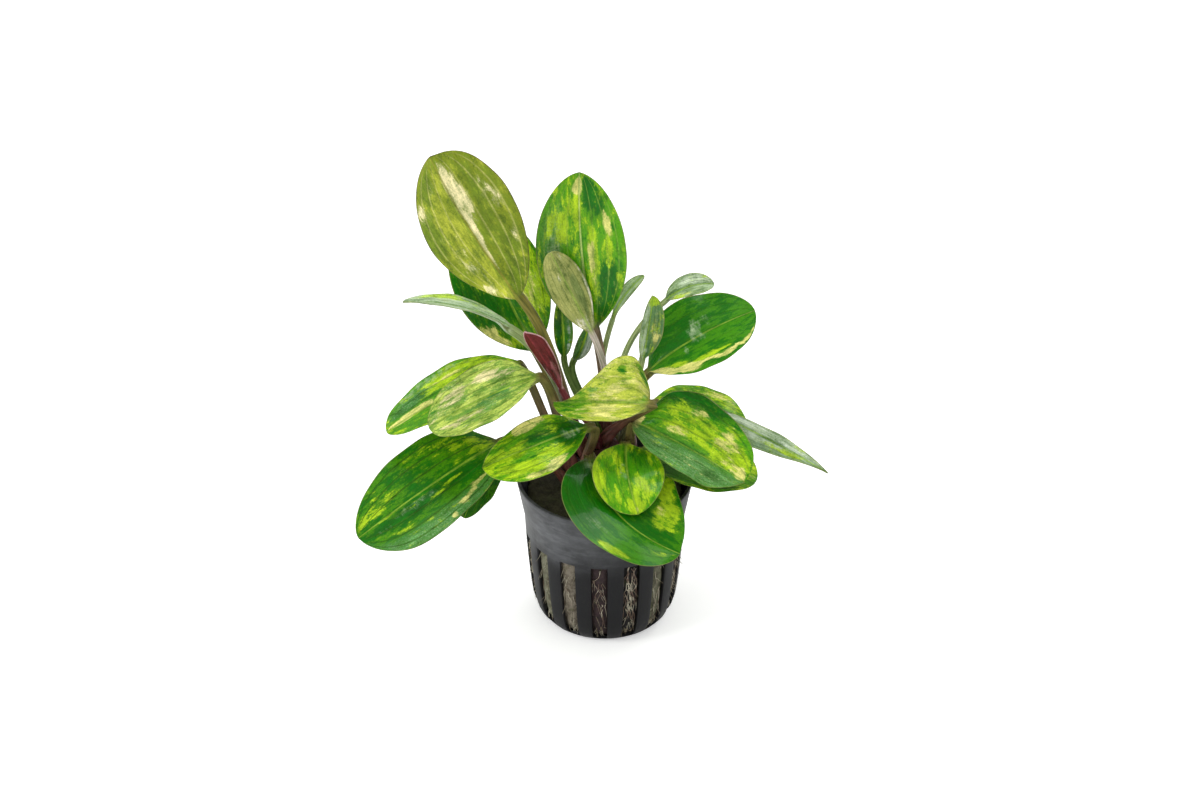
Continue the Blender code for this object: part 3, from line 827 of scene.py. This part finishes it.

# %% [markdown]
# ## Where the colours lie
# Variegation is a patchwork: some cells lack part of their green, so a leaf has cream, lime and deep green
# patches that break up into streaks and speckles. For each leaf, ground says how much cream, lime, deep green and
# pale blue bloom it has all over. Every mark after it is a soft ellipse: how far along and across the blade it lies
# (across runs from -100, the right margin, to 100, the left one), its length and width in the same shares, and its
# strength, all in percent. Two kinds aren't patches of leaf colour: green takes cream and lime away again, and the
# last kind is a painted highlight: white glints put into the colour where reflections would be.

# %% Markings
KINDS = ("cream", "lime", "deep", "blue", "green", "painted_highlight")
MARK_FADE = 1.5
MARKS = {
    "leaf_tall_olive": {"ground": (-15, 30, 50, 0),
        "cream": ((74, 13, 20, 17, 100), (52, 8, 14, 7, 95), (32, 4, 14, 3.5, 80), (66, 70, 12, 16, 40),
            (33, 78, 15, 8, 32), (68, -88, 8, 12, 40), (8, -75, 8, 30, 55), (30, -50, 12, 20, 35)),
        "lime": ((30, -40, 25, 30, 80), (50, -40, 15, 25, 80), (15, -45, 16, 25, 90), (85, -20, 10, 20, 60)),
        "deep": ((80, -62, 10, 20, 100), (52, -80, 12, 25, 100), (8, 30, 10, 40, 100), (20, 65, 20, 30, 90),
            (62, 50, 12, 14, 80), (78, 55, 12, 14, 75), (45, 35, 14, 12, 75)),
        "green": ((50, -78, 10, 20, 80), (10, 45, 12, 35, 80), (82, -60, 10, 20, 80))},
    "leaf_tall_glossy": {"ground": (-40, 22, 30, 0),
        "cream": ((44, -22, 17, 7, 95), (92, 5, 6, 25, 85), (70, -66, 10, 10, 95)),
        "lime": ((44, -25, 22, 13, 100), (66, 40, 16, 14, 80), (80, 6, 14, 8, 85), (48, -60, 14, 10, 70),
            (33, -85, 8, 10, 60), (62, 45, 14, 5, 85), (6, 0, 6, 40, 70), (70, 70, 10, 12, 70),
            (30, 60, 12, 12, 70)),
        "deep": ((88, -45, 14, 30, 90), (20, -60, 25, 30, 100)),
        "blue": ((60, 65, 20, 25, 80),),
        "green": ((86, -40, 12, 20, 80), (20, -60, 16, 30, 80)),
        "painted_highlight": ((55, 60, 14, 20, 90), (40, 35, 10, 15, 80))},
    "leaf_small_beige": {"ground": (-10, 35, 20, 0),
        "cream": ((10, 0, 10, 100, 60), (35, 97, 45, 10, 100)),
        "deep": ((38, 40, 28, 20, 100),),
        "green": ((38, 45, 25, 16, 90),)},
    "leaf_back_left": {"ground": (-40, 10, 60, 0),
        "cream": ((20, 92, 10, 35, 100), (35, -55, 20, 30, 42)),
        "lime": ((38, -63, 30, 40, 75), (12, 50, 10, 50, 80)),
        "deep": ((45, 60, 20, 40, 90),),
        "green": ((19, 60, 4, 15, 100),)},
    "leaf_edge_on": {"ground": (0, 15, 10, 80),
        "lime": ((62, -70, 25, 30, 60),),
        "painted_highlight": ((12, 30, 20, 50, 100), (50, 50, 25, 30, 100), (85, 20, 10, 40, 80))},
    "leaf_left_outer": {"ground": (-20, 30, 30, 20),
        "cream": ((88, -5, 14, 17, 100), (72, -10, 12, 14, 95), (40, -60, 30, 8, 50)),
        "lime": ((35, -60, 38, 25, 85), (8, -60, 12, 40, 70)),
        "deep": ((78, -50, 14, 20, 100),),
        "blue": ((78, -60, 20, 30, 80),),
        "green": ((80, -50, 14, 20, 90),),
        "painted_highlight": ((60, -85, 30, 15, 90), (25, -30, 10, 12, 50))},
    "leaf_left_inner": {"ground": (5, 45, 25, 20),
        "cream": ((36, -55, 17, 20, 78), (72, -50, 15, 25, 60), (84, 50, 10, 10, 90), (62, 40, 12, 7, 80)),
        "lime": ((70, 10, 30, 30, 75), (30, 70, 25, 20, 70)),
        "deep": ((45, 10, 20, 12, 70),),
        "blue": ((40, 20, 20, 25, 70), (85, -5, 10, 20, 50)),
        "green": ((40, 15, 15, 15, 80), (68, 20, 12, 8, 80))},
    "leaf_low_left": {"ground": (-50, -5, 60, 0),
        "cream": ((24, 64, 8, 8, 100), (32, 72, 6, 5, 90), (39, 77, 5, 9, 100), (48, 88, 3, 8, 80)),
        "lime": ((33, 19, 9, 4, 95), (45, 28, 8, 3.5, 85), (56, 37, 8, 3.5, 100), (68, 45, 8, 3.5, 85),
            (81, 53, 7, 4, 90), (38, -50, 30, 30, 32), (81, -40, 18, 30, 40), (94, -43, 5, 20, 80),
            (15, -30, 15, 40, 50), (85, 2, 12, 3, 80)),
        "deep": ((55, 22, 42, 16, 100), (10, 30, 12, 30, 80)),
        "blue": ((55, 85, 40, 25, 95),),
        "green": ((20, 50, 10, 10, 80),),
        "painted_highlight": ((62, 16, 18, 9, 80), (85, 25, 8, 10, 60))},
    "leaf_under_left": {"ground": (-40, 0, 60, 10),
        "cream": ((93, -40, 8, 20, 80), (78, -55, 10, 12, 70))},
    "leaf_front_left": {"ground": (-30, 36, 30, 0),
        "cream": ((55, -80, 12, 25, 100), (40, -90, 8, 12, 80), (42, 82, 15, 16, 100), (60, 85, 12, 10, 75)),
        "lime": ((82, 10, 26, 70, 75), (28, 60, 16, 8, 95), (50, 40, 22, 25, 80), (95, 0, 6, 80, 90)),
        "deep": ((12, 0, 20, 80, 100), (42, -30, 18, 18, 90)),
        "green": ((12, -10, 14, 80, 90), (42, -30, 14, 15, 80)),
        "painted_highlight": ((16, 10, 12, 40, 100),)},
    "leaf_centre": {"ground": (36, 95, 30, 0),
        "cream": ((45, 45, 14, 40, 80),),
        "lime": ((44, 30, 15, 40, 100), (82, -10, 8, 20, 70)),
        "deep": ((85, 20, 10, 40, 60), (29, -70, 5, 12, 50), (8, -85, 5, 14, 70), (25, 10, 20, 30, 50)),
        "green": ((85, 0, 21, 130, 100), (29, -70, 5, 12, 80), (8, -85, 5, 14, 100), (4, -20, 4, 20, 80)),
        "painted_highlight": ((60, -50, 6, 40, 80),)},
    "leaf_upper_right": {"ground": (-60, -40, 50, 0),
        "cream": ((10, -75, 15, 28, 100), (32, -78, 14, 16, 100), (50, -74, 12, 7, 95),
            (68, -82, 14, 9, 100), (86, -88, 10, 8, 90)),
        "lime": ((50, -64, 30, 8, 80), (20, -55, 15, 12, 80)),
        "deep": ((30, 30, 30, 40, 75),),
        "green": ((54, -100, 9, 14, 100),),
        "painted_highlight": ((50, 15, 8, 30, 100), (37, -20, 4, 14, 90), (62, 30, 5, 20, 70))},
    "leaf_narrow_right": {"ground": (0, 20, 10, 60),
        "lime": ((20, -60, 15, 50, 70),),
        "blue": ((70, 40, 30, 50, 100),),
        "painted_highlight": ((60, 50, 30, 40, 90),)},
    "leaf_pale_folded": {"ground": (0, 15, 30, 20),
        "cream": ((50, -50, 35, 30, 45),),
        "lime": ((95, 0, 10, 100, 80),),
        "deep": ((50, -60, 50, 45, 70),),
        "blue": ((50, 55, 60, 50, 100),),
        "painted_highlight": ((15, 20, 20, 60, 100), (50, 60, 50, 40, 90))},
    "leaf_back_thin": {"ground": (0, 20, 10, 60),
        "lime": ((85, 0, 20, 100, 50),)},
    "leaf_right": {"ground": (-20, 10, 30, 0),
        "cream": ((42, 62, 10, 14, 55), (34, 20, 10, 8, 50), (74, 50, 12, 25, 70), (85, 15, 12, 14, 68),
            (94, 10, 5, 30, 80), (2, 20, 3.5, 100, 90)),
        "lime": ((45, 45, 28, 35, 68), (80, 40, 20, 40, 95)),
        "deep": ((50, -50, 50, 50, 60), (35, 95, 35, 25, 90)),
        "blue": ((50, -58, 60, 55, 100),),
        "green": ((50, -55, 60, 50, 100), (30, 90, 30, 20, 70))},
    "leaf_right_behind": {"ground": (-10, 50, 35, 10),
        "cream": ((60, 80, 30, 15, 40),),
        "deep": ((40, 40, 30, 30, 60),)},
    "leaf_far_right": {"ground": (0, 15, 20, 45),
        "lime": ((66, -40, 12, 25, 90),),
        "deep": ((85, -20, 15, 50, 80), (50, -70, 20, 30, 60)),
        "blue": ((45, 30, 60, 70, 100),),
        "painted_highlight": ((50, -30, 20, 20, 90), (30, 60, 30, 25, 100), (70, 30, 15, 20, 100))},
    "leaf_front_low": {"ground": (-50, -30, 50, 0),
        "cream": ((76, 50, 8, 10, 50),),
        "lime": ((82, 60, 16, 34, 78), (66, 80, 17, 24, 85), (65, -86, 10, 12, 85), (90, -40, 12, 15, 45)),
        "deep": ((20, -60, 30, 50, 90), (50, 15, 40, 20, 80)),
        "green": ((97, 50, 5, 60, 80),),
        "painted_highlight": ((50, -62, 9, 18, 70), (30, -15, 25, 5, 35), (75, -30, 12, 15, 20), (5, 0, 5, 60, 80))},
    "leaf_front_small": {"ground": (-40, 40, 10, 0),
        "cream": ((95, 0, 4, 12, 60),),
        "lime": ((22, -82, 12, 22, 80), (74, 42, 20, 38, 75), (92, 5, 10, 50, 90), (50, -92, 20, 12, 60),
            (40, -40, 25, 25, 45)),
        "deep": ((22, 50, 25, 40, 70),),
        "green": ((32, 30, 20, 30, 70),),
        "painted_highlight": ((45, -10, 15, 15, 70),)},
    "leaf_under_right": {"ground": (-40, 15, 30, 5),
        "lime": ((85, 50, 20, 70, 75), (55, -95, 40, 12, 50))},
    "leaf_young_left": {"ground": (0, 10, 50, 0),
        "lime": ((50, 0, 60, 8, 90),),
        "deep": ((60, 50, 50, 40, 100),),
        "painted_highlight": ((35, -60, 40, 25, 100),)},
    "leaf_young_right": {"ground": (0, 10, 30, 10),
        "lime": ((40, 10, 60, 8, 80),),
        "blue": ((50, -60, 60, 40, 100),),
        "painted_highlight": ((40, -60, 50, 35, 100),)},
    "red_sheath": {"ground": (-20, -20, 40, 0),
        "cream": ((20, 50, 30, 30, 80), (5, -40, 30, 25, 70))},
}


def tone(name, facts):
    """Cream, lime, deep and blue amounts for every point of a leaf, and how much painted highlight it has."""
    across, along = facts["leaf_share"][..., 0], facts["leaf_share"][..., 1]
    ground = dict(zip(KINDS, (*MARKS[name]["ground"], 0, 0)))
    amounts = {}
    for kind in KINDS:
        least = ground[kind] / 100
        amounts[kind] = np.full(across.shape, least)
        for mark in MARKS[name].get(kind, ()):
            q, s, length, width, strength = (percent / 100 for percent in mark)
            away = np.sqrt(((along - q) / length) ** 2 + ((across - s) / width) ** 2)
            amounts[kind] = np.maximum(amounts[kind], least + (strength - least) * smooth(MARK_FADE - away))
    keep = 1.0 - amounts["green"]
    colours = np.stack([amounts["cream"] * keep, amounts["lime"] * keep, amounts["deep"], amounts["blue"]], -1)
    return colours, amounts["painted_highlight"]


print("marks:", sum(len(marks.get(kind, ())) for marks in MARKS.values() for kind in KINDS))

# %% [markdown]
# ## From a grid to a leaf
# By hand, a leaf could be a grid that is wrapped round its midrib and stitched along one margin. We do just that:
# add a grid with one row for each step along the leaf and one column for each step round it, lay its points on the
# surface, merge the two edges that meet, and fill both ends. The grid's own UV map stays with it.

# %% Leaf mesh
MERGE_DISTANCE = 1e-7


def store(mesh, name, kind, key, values):
    """Keeps one value a point in an attribute of the mesh."""
    mesh.attributes.new(name, kind, "POINT").data.foreach_set(key, values.astype(np.float32).ravel())


def add_leaf(leaf, index):
    points, facts = leaf_surface(leaf, index)
    rows, columns = points.shape[:2]
    bpy.ops.object.select_all(action="DESELECT")
    bpy.ops.mesh.primitive_grid_add(x_subdivisions=columns - 1, y_subdivisions=rows - 1, size=1.0)
    piece = bpy.context.object
    piece.name = leaf.name + "_skin"
    piece.data.vertices.foreach_set("co", (points * MM).astype(np.float32).ravel())
    for name, values in facts.items():
        store(piece.data, name, "FLOAT_VECTOR", "vector", values)
    colours, painted_highlight = tone(leaf.name, facts)
    store(piece.data, "leaf_tone", "FLOAT_COLOR", "color", colours)
    # the amount of painted highlight at each point
    store(piece.data, "leaf_painted_highlight", "FLOAT", "value", painted_highlight)
    bpy.ops.object.mode_set(mode="EDIT")
    bpy.ops.mesh.select_all(action="SELECT")
    bpy.ops.mesh.remove_doubles(threshold=MERGE_DISTANCE)
    bpy.ops.mesh.fill_holes(sides=0)
    bpy.ops.mesh.select_all(action="SELECT")
    bpy.ops.mesh.normals_make_consistent(inside=False)
    bpy.ops.object.mode_set(mode="OBJECT")
    bpy.ops.object.shade_smooth()
    return piece


print("leaf grid:", ROUND.size, "by", STALK_ROWS + BLADE_ROWS + 1, "points")

# %% [markdown]
# ## The leaf material
# One node group serves every leaf. It reads where it is on the leaf (millimetres across, along and from the
# margin), and the painted amounts. Three sizes of noise, drawn out along the veins, turn each soft amount into
# patches, streaks and speckles at once. Half of a patch fades in softly and half of it has a crisp edge, as in a
# real leaf, where cells of several layers overlap.

# %% Patches
PATCH_POWER = 4.2


def leaf_noises(flat):
    """Broad, middle and fine noise, three channels each."""
    broad = speckle(stretch(flat, (1.0, 0.4, 0.0)), 0.3, output="Color")
    middle = speckle(stretch(flat, (1.0, 0.28, 0.0)), 0.95, 3.0, 0.55, "Color")
    fine = speckle(stretch(flat, (1.0, 0.6, 0.0)), 2.6, 2.0, 0.6, "Color")
    return split(broad), split(middle), split(fine)


def patch_mask(amount, broad, middle, fine, power):
    """Turns a soft amount into a patch with a soft and a crisp half."""
    pushed = (broad * 0.42 + middle * 0.38 + fine * 0.2 - 0.5) * power + amount
    return (ramp(pushed, 0.4, 0.68) + ramp(pushed, 0.1, 0.95)) * 0.5


def lay_patches(given, amounts, noises):
    """Green, deep green, pale bloom, lime and cream, laid over one another, and small white dots of painted highlight.
    """
    cream, lime, deep, bloom = amounts
    power = given["Speckle"] * PATCH_POWER
    cream, lime, deep = (
        patch_mask(amount, *(size[i] for size in noises), power) for i, amount in enumerate((cream, lime, deep))
    )
    colour = mix(deep, given["Green"], given["Deep Green"])
    colour = mix(bloom * 0.85, colour, given["Blue Green"])
    colour = mix(lime * 0.9, colour, given["Lime"])
    colour = mix(cream * 0.92, colour, given["Cream"])
    # painted highlight: small white dots, as glinting water drops would show
    painted_drop_glints = ramp(bloom * 0.12 + noises[2][0], 0.6, 0.7)
    return mix(painted_drop_glints * (bloom * 0.15), colour, given["Highlight White"])


print("patch power:", PATCH_POWER)

# %% [markdown]
# Over the patches come the veins and the midrib, the paler lower face and a thin rim. The midrib gets narrower
# towards the tip.

# %% Lines and light
VEINS = (0.3, 0.58, 0.82)
RIB_TAPER = 1.55
DARKER, LIGHTER = (0.35, 0.45, 0.3), (1.75, 1.55, 1.9)
MEAN_OF_LIGHT = 2.02


def vein_mask(across):
    """Thin lines at the veins' shares of the half width."""
    first, second, third = (ramp(abs(abs(across) - vein), 0.03, 0.004) for vein in VEINS)
    return first + second + third


def draw_lines(given, colour, across_mm, edge_mm, along, upper, veins):
    in_blade = ramp(along, 0.0, 0.05)
    rib_gap = abs(across_mm) / (RIB_TAPER - along)
    colour = mix(veins * (in_blade * given["Vein Amount"]), colour, given["Vein"])
    colour = mix(ramp(rib_gap, 0.9, 0.3) * (in_blade * 0.45), colour, given["Deep Green"])
    colour = mix(ramp(rib_gap, 0.4, 0.15) * (in_blade * 0.7), colour, given["Rib"])
    colour = mix((1.0 - upper) * given["Under Mix"], colour, given["Underside"])
    return mix(ramp(edge_mm, 0.4, 0.1) * (in_blade * 0.7), colour, given["Rim"])


def shade(colour, amount):
    """Makes a colour darker below 0.5 and lighter above it. Dark parts turn greener and light ones yellower."""
    return mix(1.0, colour, mix(amount, DARKER, LIGHTER), "MULTIPLY")


def light_and_dark(given, streaks, noises, net):
    """How light each place is. The noises average 0.5 each, so their mean is taken off again."""
    broad, middle, fine = noises
    light = streaks * 0.35 + fine[2] * 0.85 + middle[2] * 1.35 + broad[2] * 1.5 - net * 0.1 - MEAN_OF_LIGHT
    return limit(light * given["Contrast"] + 0.5)


print("veins at", VEINS, "of the half width")

# %% [markdown]
# Now the group itself. Fine streaks and a net of tiny cells vary the colour, and the same net gives the relief that
# breaks up the gloss. Where a highlight is painted, the colour turns to white glints in bands: painted highlights
# that stand in for reflections. Towards the stalk the colour turns to that of the stalk, which is redder at its foot.

# %% Leaf node group
# One input holds no leaf colour but the white of the painted highlights: the glints and the small dots.
LEAF_INPUTS = {
    "Green": (0.095, 0.37, 0.001), "Deep Green": (0.006, 0.125, 0.001), "Lime": (0.4, 0.63, 0.01),
    "Cream": (0.68, 0.69, 0.18), "Blue Green": (0.085, 0.27, 0.05), "Highlight White": (0.55, 0.68, 0.42),
    "Vein": (0.03, 0.12, 0.004), "Rib": (0.24, 0.42, 0.03), "Rim": (0.24, 0.27, 0.07),
    "Underside": (0.3, 0.38, 0.12), "Stalk": (0.15, 0.14, 0.035), "Stalk Foot": (0.12, 0.045, 0.03),
    "Speckle": 1.0, "Shine": 0.28, "Under Mix": 0.45, "Vein Amount": 0.4, "Contrast": 1.0,
}


def painted(tree, name, output="Vector"):
    return source(tree, "ShaderNodeAttribute", output, attribute_name=name)


def cell_net(flat):
    """Thin lines between tiny cells."""
    inputs = {"Vector": stretch(flat, (1.0, 0.7, 0.0)), "Scale": 1.15}
    cells = add_node(flat.tree, "ShaderNodeTexVoronoi", inputs, feature="DISTANCE_TO_EDGE")
    return ramp(Value(cells.outputs["Distance"]), 0.14, 0.02)


def leaf_group():
    tree, given = new_group("Variegated leaf", LEAF_INPUTS)
    place, painted_highlight = painted(tree, "leaf_place"), painted(tree, "leaf_painted_highlight", "Fac")
    across_mm, _, edge_mm = split(place)
    across, along, upper = split(painted(tree, "leaf_share"))
    bloom = painted(tree, "leaf_tone", "Alpha")
    flat = stretch(place, (1.0, 1.0, 0.0))
    noises, net, veins = leaf_noises(flat), cell_net(flat), vein_mask(across)
    streaks = speckle(stretch(flat, (1.0, 0.05, 0.0)), 2.2)
    colour = lay_patches(given, (*split(painted(tree, "leaf_tone", "Color")), bloom), noises)
    colour = draw_lines(given, colour, across_mm, edge_mm, along, upper, veins)
    colour = shade(colour, light_and_dark(given, streaks, noises, net))
    # Painted highlight: white glints in bands are mixed into the colour where the leaf's painted amount asks for them.
    painted_glint_bands = speckle(stretch(flat, (0.45, 0.8, 0.0)), 0.7, 3.0, 0.6)
    painted_glints = ramp(streaks * 0.25 + painted_glint_bands * 0.85 + painted_highlight * 0.3, 0.7, 1.1)
    colour = mix(painted_glints * (painted_highlight * 0.75), colour, given["Highlight White"])
    stalk = mix(ramp(along, -0.25, -0.85), given["Stalk"], given["Stalk Foot"])
    stalk = shade(stalk, limit(streaks * 2.0 - 0.5))
    _, middle, fine = noises
    roughness = fine[0] * 0.2 + given["Shine"] + bloom * 0.25 + (1.0 - upper) * 0.12
    relief = veins * (upper * -1.6 + 0.8) - net * 0.3 + middle[1] * 0.7 + fine[1] * 0.35
    return close_group(tree, mix(ramp(along, 0.07, -0.03), colour, stalk), roughness, relief)


LEAF = leaf_group()
print("leaf group nodes:", len(LEAF.nodes))

# %% [markdown]
# The skins differ in a few values. Most leaves share one. The tall olive and the small beige leaf show their
# undersides, the pale ones are young and glossy, and the sheath is burgundy with pale edges. Undersides and the
# sheath have a duller coat than the upper faces.

# %% Leaf skins
GLOSS = {"Specular IOR Level": 0.16, "Coat Weight": 0.18, "Coat Roughness": 0.1}
SATIN = {"Specular IOR Level": 0.2, "Coat Weight": 0.06, "Coat Roughness": 0.15}
LEAF_RELIEF, SMOOTH_RELIEF = 0.12, 0.07
# The pale and young skins get a whiter painted highlight.
SKIN_VALUES = {
    "leaf_skin": {},
    "veined_leaf_skin": {"Vein Amount": 0.75},
    "smooth_leaf_skin": {"Green": (0.065, 0.31, 0.001), "Vein Amount": 0.25, "Contrast": 0.7, "Speckle": 0.85},
    "dusty_leaf_skin": {"Green": (0.18, 0.36, 0.035), "Lime": (0.46, 0.6, 0.09), "Cream": (0.63, 0.6, 0.27)},
    "olive_leaf_skin": {
        "Green": (0.25, 0.34, 0.006), "Deep Green": (0.09, 0.19, 0.002), "Lime": (0.39, 0.47, 0.03),
        "Cream": (0.9, 0.86, 0.44), "Underside": (0.33, 0.37, 0.03), "Stalk": (0.19, 0.18, 0.03),
        "Rim": (0.16, 0.12, 0.05), "Vein": (0.65, 0.66, 0.2), "Rib": (0.2, 0.19, 0.02),
        "Under Mix": 0.2, "Speckle": 0.9,
    },
    "beige_leaf_skin": {
        "Green": (0.31, 0.36, 0.08), "Deep Green": (0.06, 0.14, 0.015), "Lime": (0.38, 0.42, 0.1),
        "Cream": (0.85, 0.85, 0.65), "Underside": (0.37, 0.4, 0.12), "Stalk": (0.55, 0.5, 0.38), "Under Mix": 0.3,
    },
    "pale_leaf_skin": {
        "Green": (0.16, 0.34, 0.05), "Blue Green": (0.48, 0.62, 0.38), "Stalk": (0.3, 0.4, 0.14),
        "Stalk Foot": (0.12, 0.12, 0.04), "Underside": (0.45, 0.52, 0.33), "Highlight White": (0.72, 0.82, 0.66),
    },
    "centre_leaf_skin": {
        "Green": (0.15, 0.37, 0.01), "Lime": (0.44, 0.54, 0.05), "Cream": (0.61, 0.63, 0.17),
        "Vein Amount": 0.15, "Speckle": 1.25,
    },
    "tall_glossy_leaf_skin": {
        "Vein": (0.3, 0.5, 0.06), "Rib": (0.45, 0.6, 0.15), "Stalk": (0.27, 0.2, 0.12),
        "Stalk Foot": (0.2, 0.08, 0.07), "Vein Amount": 0.3, "Contrast": 0.85,
    },
    "young_leaf_skin": {
        "Green": (0.09, 0.26, 0.03), "Stalk": (0.16, 0.27, 0.06), "Stalk Foot": (0.1, 0.17, 0.03),
        "Blue Green": (0.4, 0.52, 0.36), "Highlight White": (0.75, 0.85, 0.75),
    },
    "burgundy_sheath_skin": {
        "Green": (0.13, 0.016, 0.012), "Deep Green": (0.07, 0.01, 0.01), "Lime": (0.3, 0.05, 0.05),
        "Cream": (0.5, 0.2, 0.2), "Underside": (0.17, 0.02, 0.018), "Stalk": (0.17, 0.03, 0.03),
        "Stalk Foot": (0.1, 0.02, 0.02), "Vein": (0.07, 0.01, 0.01), "Rib": (0.2, 0.03, 0.03),
        "Rim": (0.75, 0.5, 0.45),
    },
}
SATIN_SLOTS = {
    "olive_leaf_skin": "leaf_olive", "beige_leaf_skin": "leaf_beige", "burgundy_sheath_skin": "sheath_burgundy",
}
skins = {}
for name, values in SKIN_VALUES.items():
    relief_mm = SMOOTH_RELIEF if name == "smooth_leaf_skin" else LEAF_RELIEF
    skins[name] = new_material(name, LEAF, values, relief_mm, SATIN if name in SATIN_SLOTS else GLOSS)
print("skins:", len(skins))

# %% [markdown]
# Each leaf is built, gets its skin, and stands for the solid of the same name.

# %% All leaves
for index, leaf in enumerate(LEAVES):
    piece = add_leaf(leaf, index)
    piece.data.materials.append(skins[leaf.skin])
    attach(piece, "root")
    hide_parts(leaf.name)

# %% [markdown]
# ## Roots and loose fibres
# Fine pale roots run down behind the slots, and torn fibres of the wool stand out of them. Each one is a thin tube:
# a curve with a round bevel. All of a kind are drawn in one curve, which is then turned into a mesh.

# %% Tubes
def add_strands(name, strands, radius_mm):
    """One mesh of many thin tubes. A strand is a list of points in millimetres; each tapers towards its end."""
    bpy.ops.object.select_all(action="DESELECT")
    bpy.ops.curve.primitive_bezier_curve_add(location=(0, 0, 0))
    piece = bpy.context.object
    piece.name = name
    curve = piece.data
    curve.splines.clear()
    curve.bevel_depth, curve.bevel_resolution = radius_mm * MM, 1
    curve.use_fill_caps = True
    curve.resolution_u = 2
    for points in strands:
        spline = curve.splines.new("NURBS")
        spline.points.add(len(points) - 1)
        spline.use_endpoint_u = True
        spline.order_u = 3
        for index, (spot, point) in enumerate(zip(spline.points, points)):
            spot.co = (*(Vector(point) * MM), 1.0)
            spot.radius = 1.0 - 0.6 * index / (len(points) - 1)
    bpy.ops.object.convert(target="MESH")
    bpy.ops.object.shade_smooth()
    return bpy.context.object


print("tubes ready")

# %% [markdown]
# A root wanders down a slot and lifts off the wool here and there. A fibre is short and stiff: it leaves the wool
# and bends down. Chance draws both, from one seed, so that every run gives the same ones. The dark slots at the
# front hold most roots, and one long root slants across a slot.

# %% Paths in the slots
WOOL_SIDE = sorted((z, r) for r, z in WOOL_PROFILE[20:])
ROOT_RADIUS, FIBRE_RADIUS = 0.1, 0.08
ROOTS_IN_SLOT = (9, 4, 6, 3, 12, 3, 4, 5, 12, 2, 3, 8, 30, 5, 9)
FIBRES_IN_SLOT = (40, 24, 24, 24, 24, 24, 24, 40, 80, 36, 30, 24, 30, 44, 80)
LONG_ROOT = [(-0.9, 26.5), (-0.55, 24.5), (-0.15, 23.2), (0.3, 21.0), (0.75, 19.4), (0.95, 17.2)]
LONG_ROOT_SLOT = 11


def in_slot(index, across, height, out):
    """A point over the wool in a slot: across runs from -1 to 1 between the slot's sides."""
    angle = FIRST_SLOT_DEG + (index + 0.25 + 0.23 * max(-1.0, min(1.0, across))) * SLOT_STEP
    side = float(np.interp(height, [z for z, _ in WOOL_SIDE], [r for _, r in WOOL_SIDE]))
    radius = side + swell(angle, height) + out
    return radius * math.cos(math.radians(angle)), radius * math.sin(math.radians(angle)), height


def root_path(rng, index):
    across, height = rng.uniform(-0.9, 0.9), rng.uniform(12.0, 31.0)
    drift = rng.uniform(-0.25, 0.25)
    points = []
    for _ in range(rng.randint(5, 12)):
        points.append(in_slot(index, across, max(2.6, height), rng.uniform(0.05, 0.5)))
        across += drift + rng.uniform(-0.3, 0.3)
        height -= rng.uniform(0.4, 2.6)
    return points


def fibre_path(rng, index):
    across, height = rng.uniform(-1.0, 1.0), rng.uniform(3.0, 30.5)
    if rng.random() < 0.4:
        height = rng.uniform(2.6, 7.0)
    length, tilt = rng.uniform(0.8, 4.2), rng.uniform(-0.7, 0.7)
    points = []
    for step in (0.0, 0.35, 0.7, 1.0):
        out = length * step * rng.uniform(0.3, 0.7)
        points.append(in_slot(index, across + tilt * step, max(0.5, height - length * step * 0.8), out - 0.1))
    return points


rng = random.Random(7)
roots = [root_path(rng, index) for index, count in enumerate(ROOTS_IN_SLOT) for _ in range(count)]
roots.append([in_slot(LONG_ROOT_SLOT, across, height, 0.45) for across, height in LONG_ROOT])
fibres = [fibre_path(rng, index) for index, count in enumerate(FIBRES_IN_SLOT) for _ in range(count)]
root_tubes = add_strands("root_strands", roots, ROOT_RADIUS)
fibre_tubes = add_strands("wool_fibres", fibres, FIBRE_RADIUS)
report(root_tubes)
report(fibre_tubes)

# %% [markdown]
# Roots are pale and a little glassy, with browner stretches. The fibres are paler brown and duller.

# %% Strand material
def strand_group():
    tree, given = new_group("Root and fibre", {"Pale": (0.6, 0.55, 0.42), "Brown": (0.16, 0.1, 0.07)})
    place = object_place(tree)
    stretches = speckle(place, 230.0, 3.0, 0.6)
    grain = speckle(place, 2200.0, 2.0, 0.6)
    colour = mix(ramp(stretches, 0.42, 0.62), given["Brown"], given["Pale"])
    return close_group(tree, colour, grain * 0.3 + 0.35, grain)


STRAND = strand_group()
DRY = {"Pale": (0.5, 0.47, 0.36), "Brown": (0.24, 0.2, 0.13)}
root_tubes.data.materials.append(new_material("fine_root", STRAND, {}, 0.02, {"Specular IOR Level": 0.4}))
fibre_tubes.data.materials.append(new_material("loose_fibre", STRAND, DRY, 0.01, {"Specular IOR Level": 0.3}))
for piece, slot in ((root_tubes, "crown_skin"), (fibre_tubes, "rock_wool")):
    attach(piece, "root")
print("strands:", len(roots), "roots and", len(fibres), "fibres")
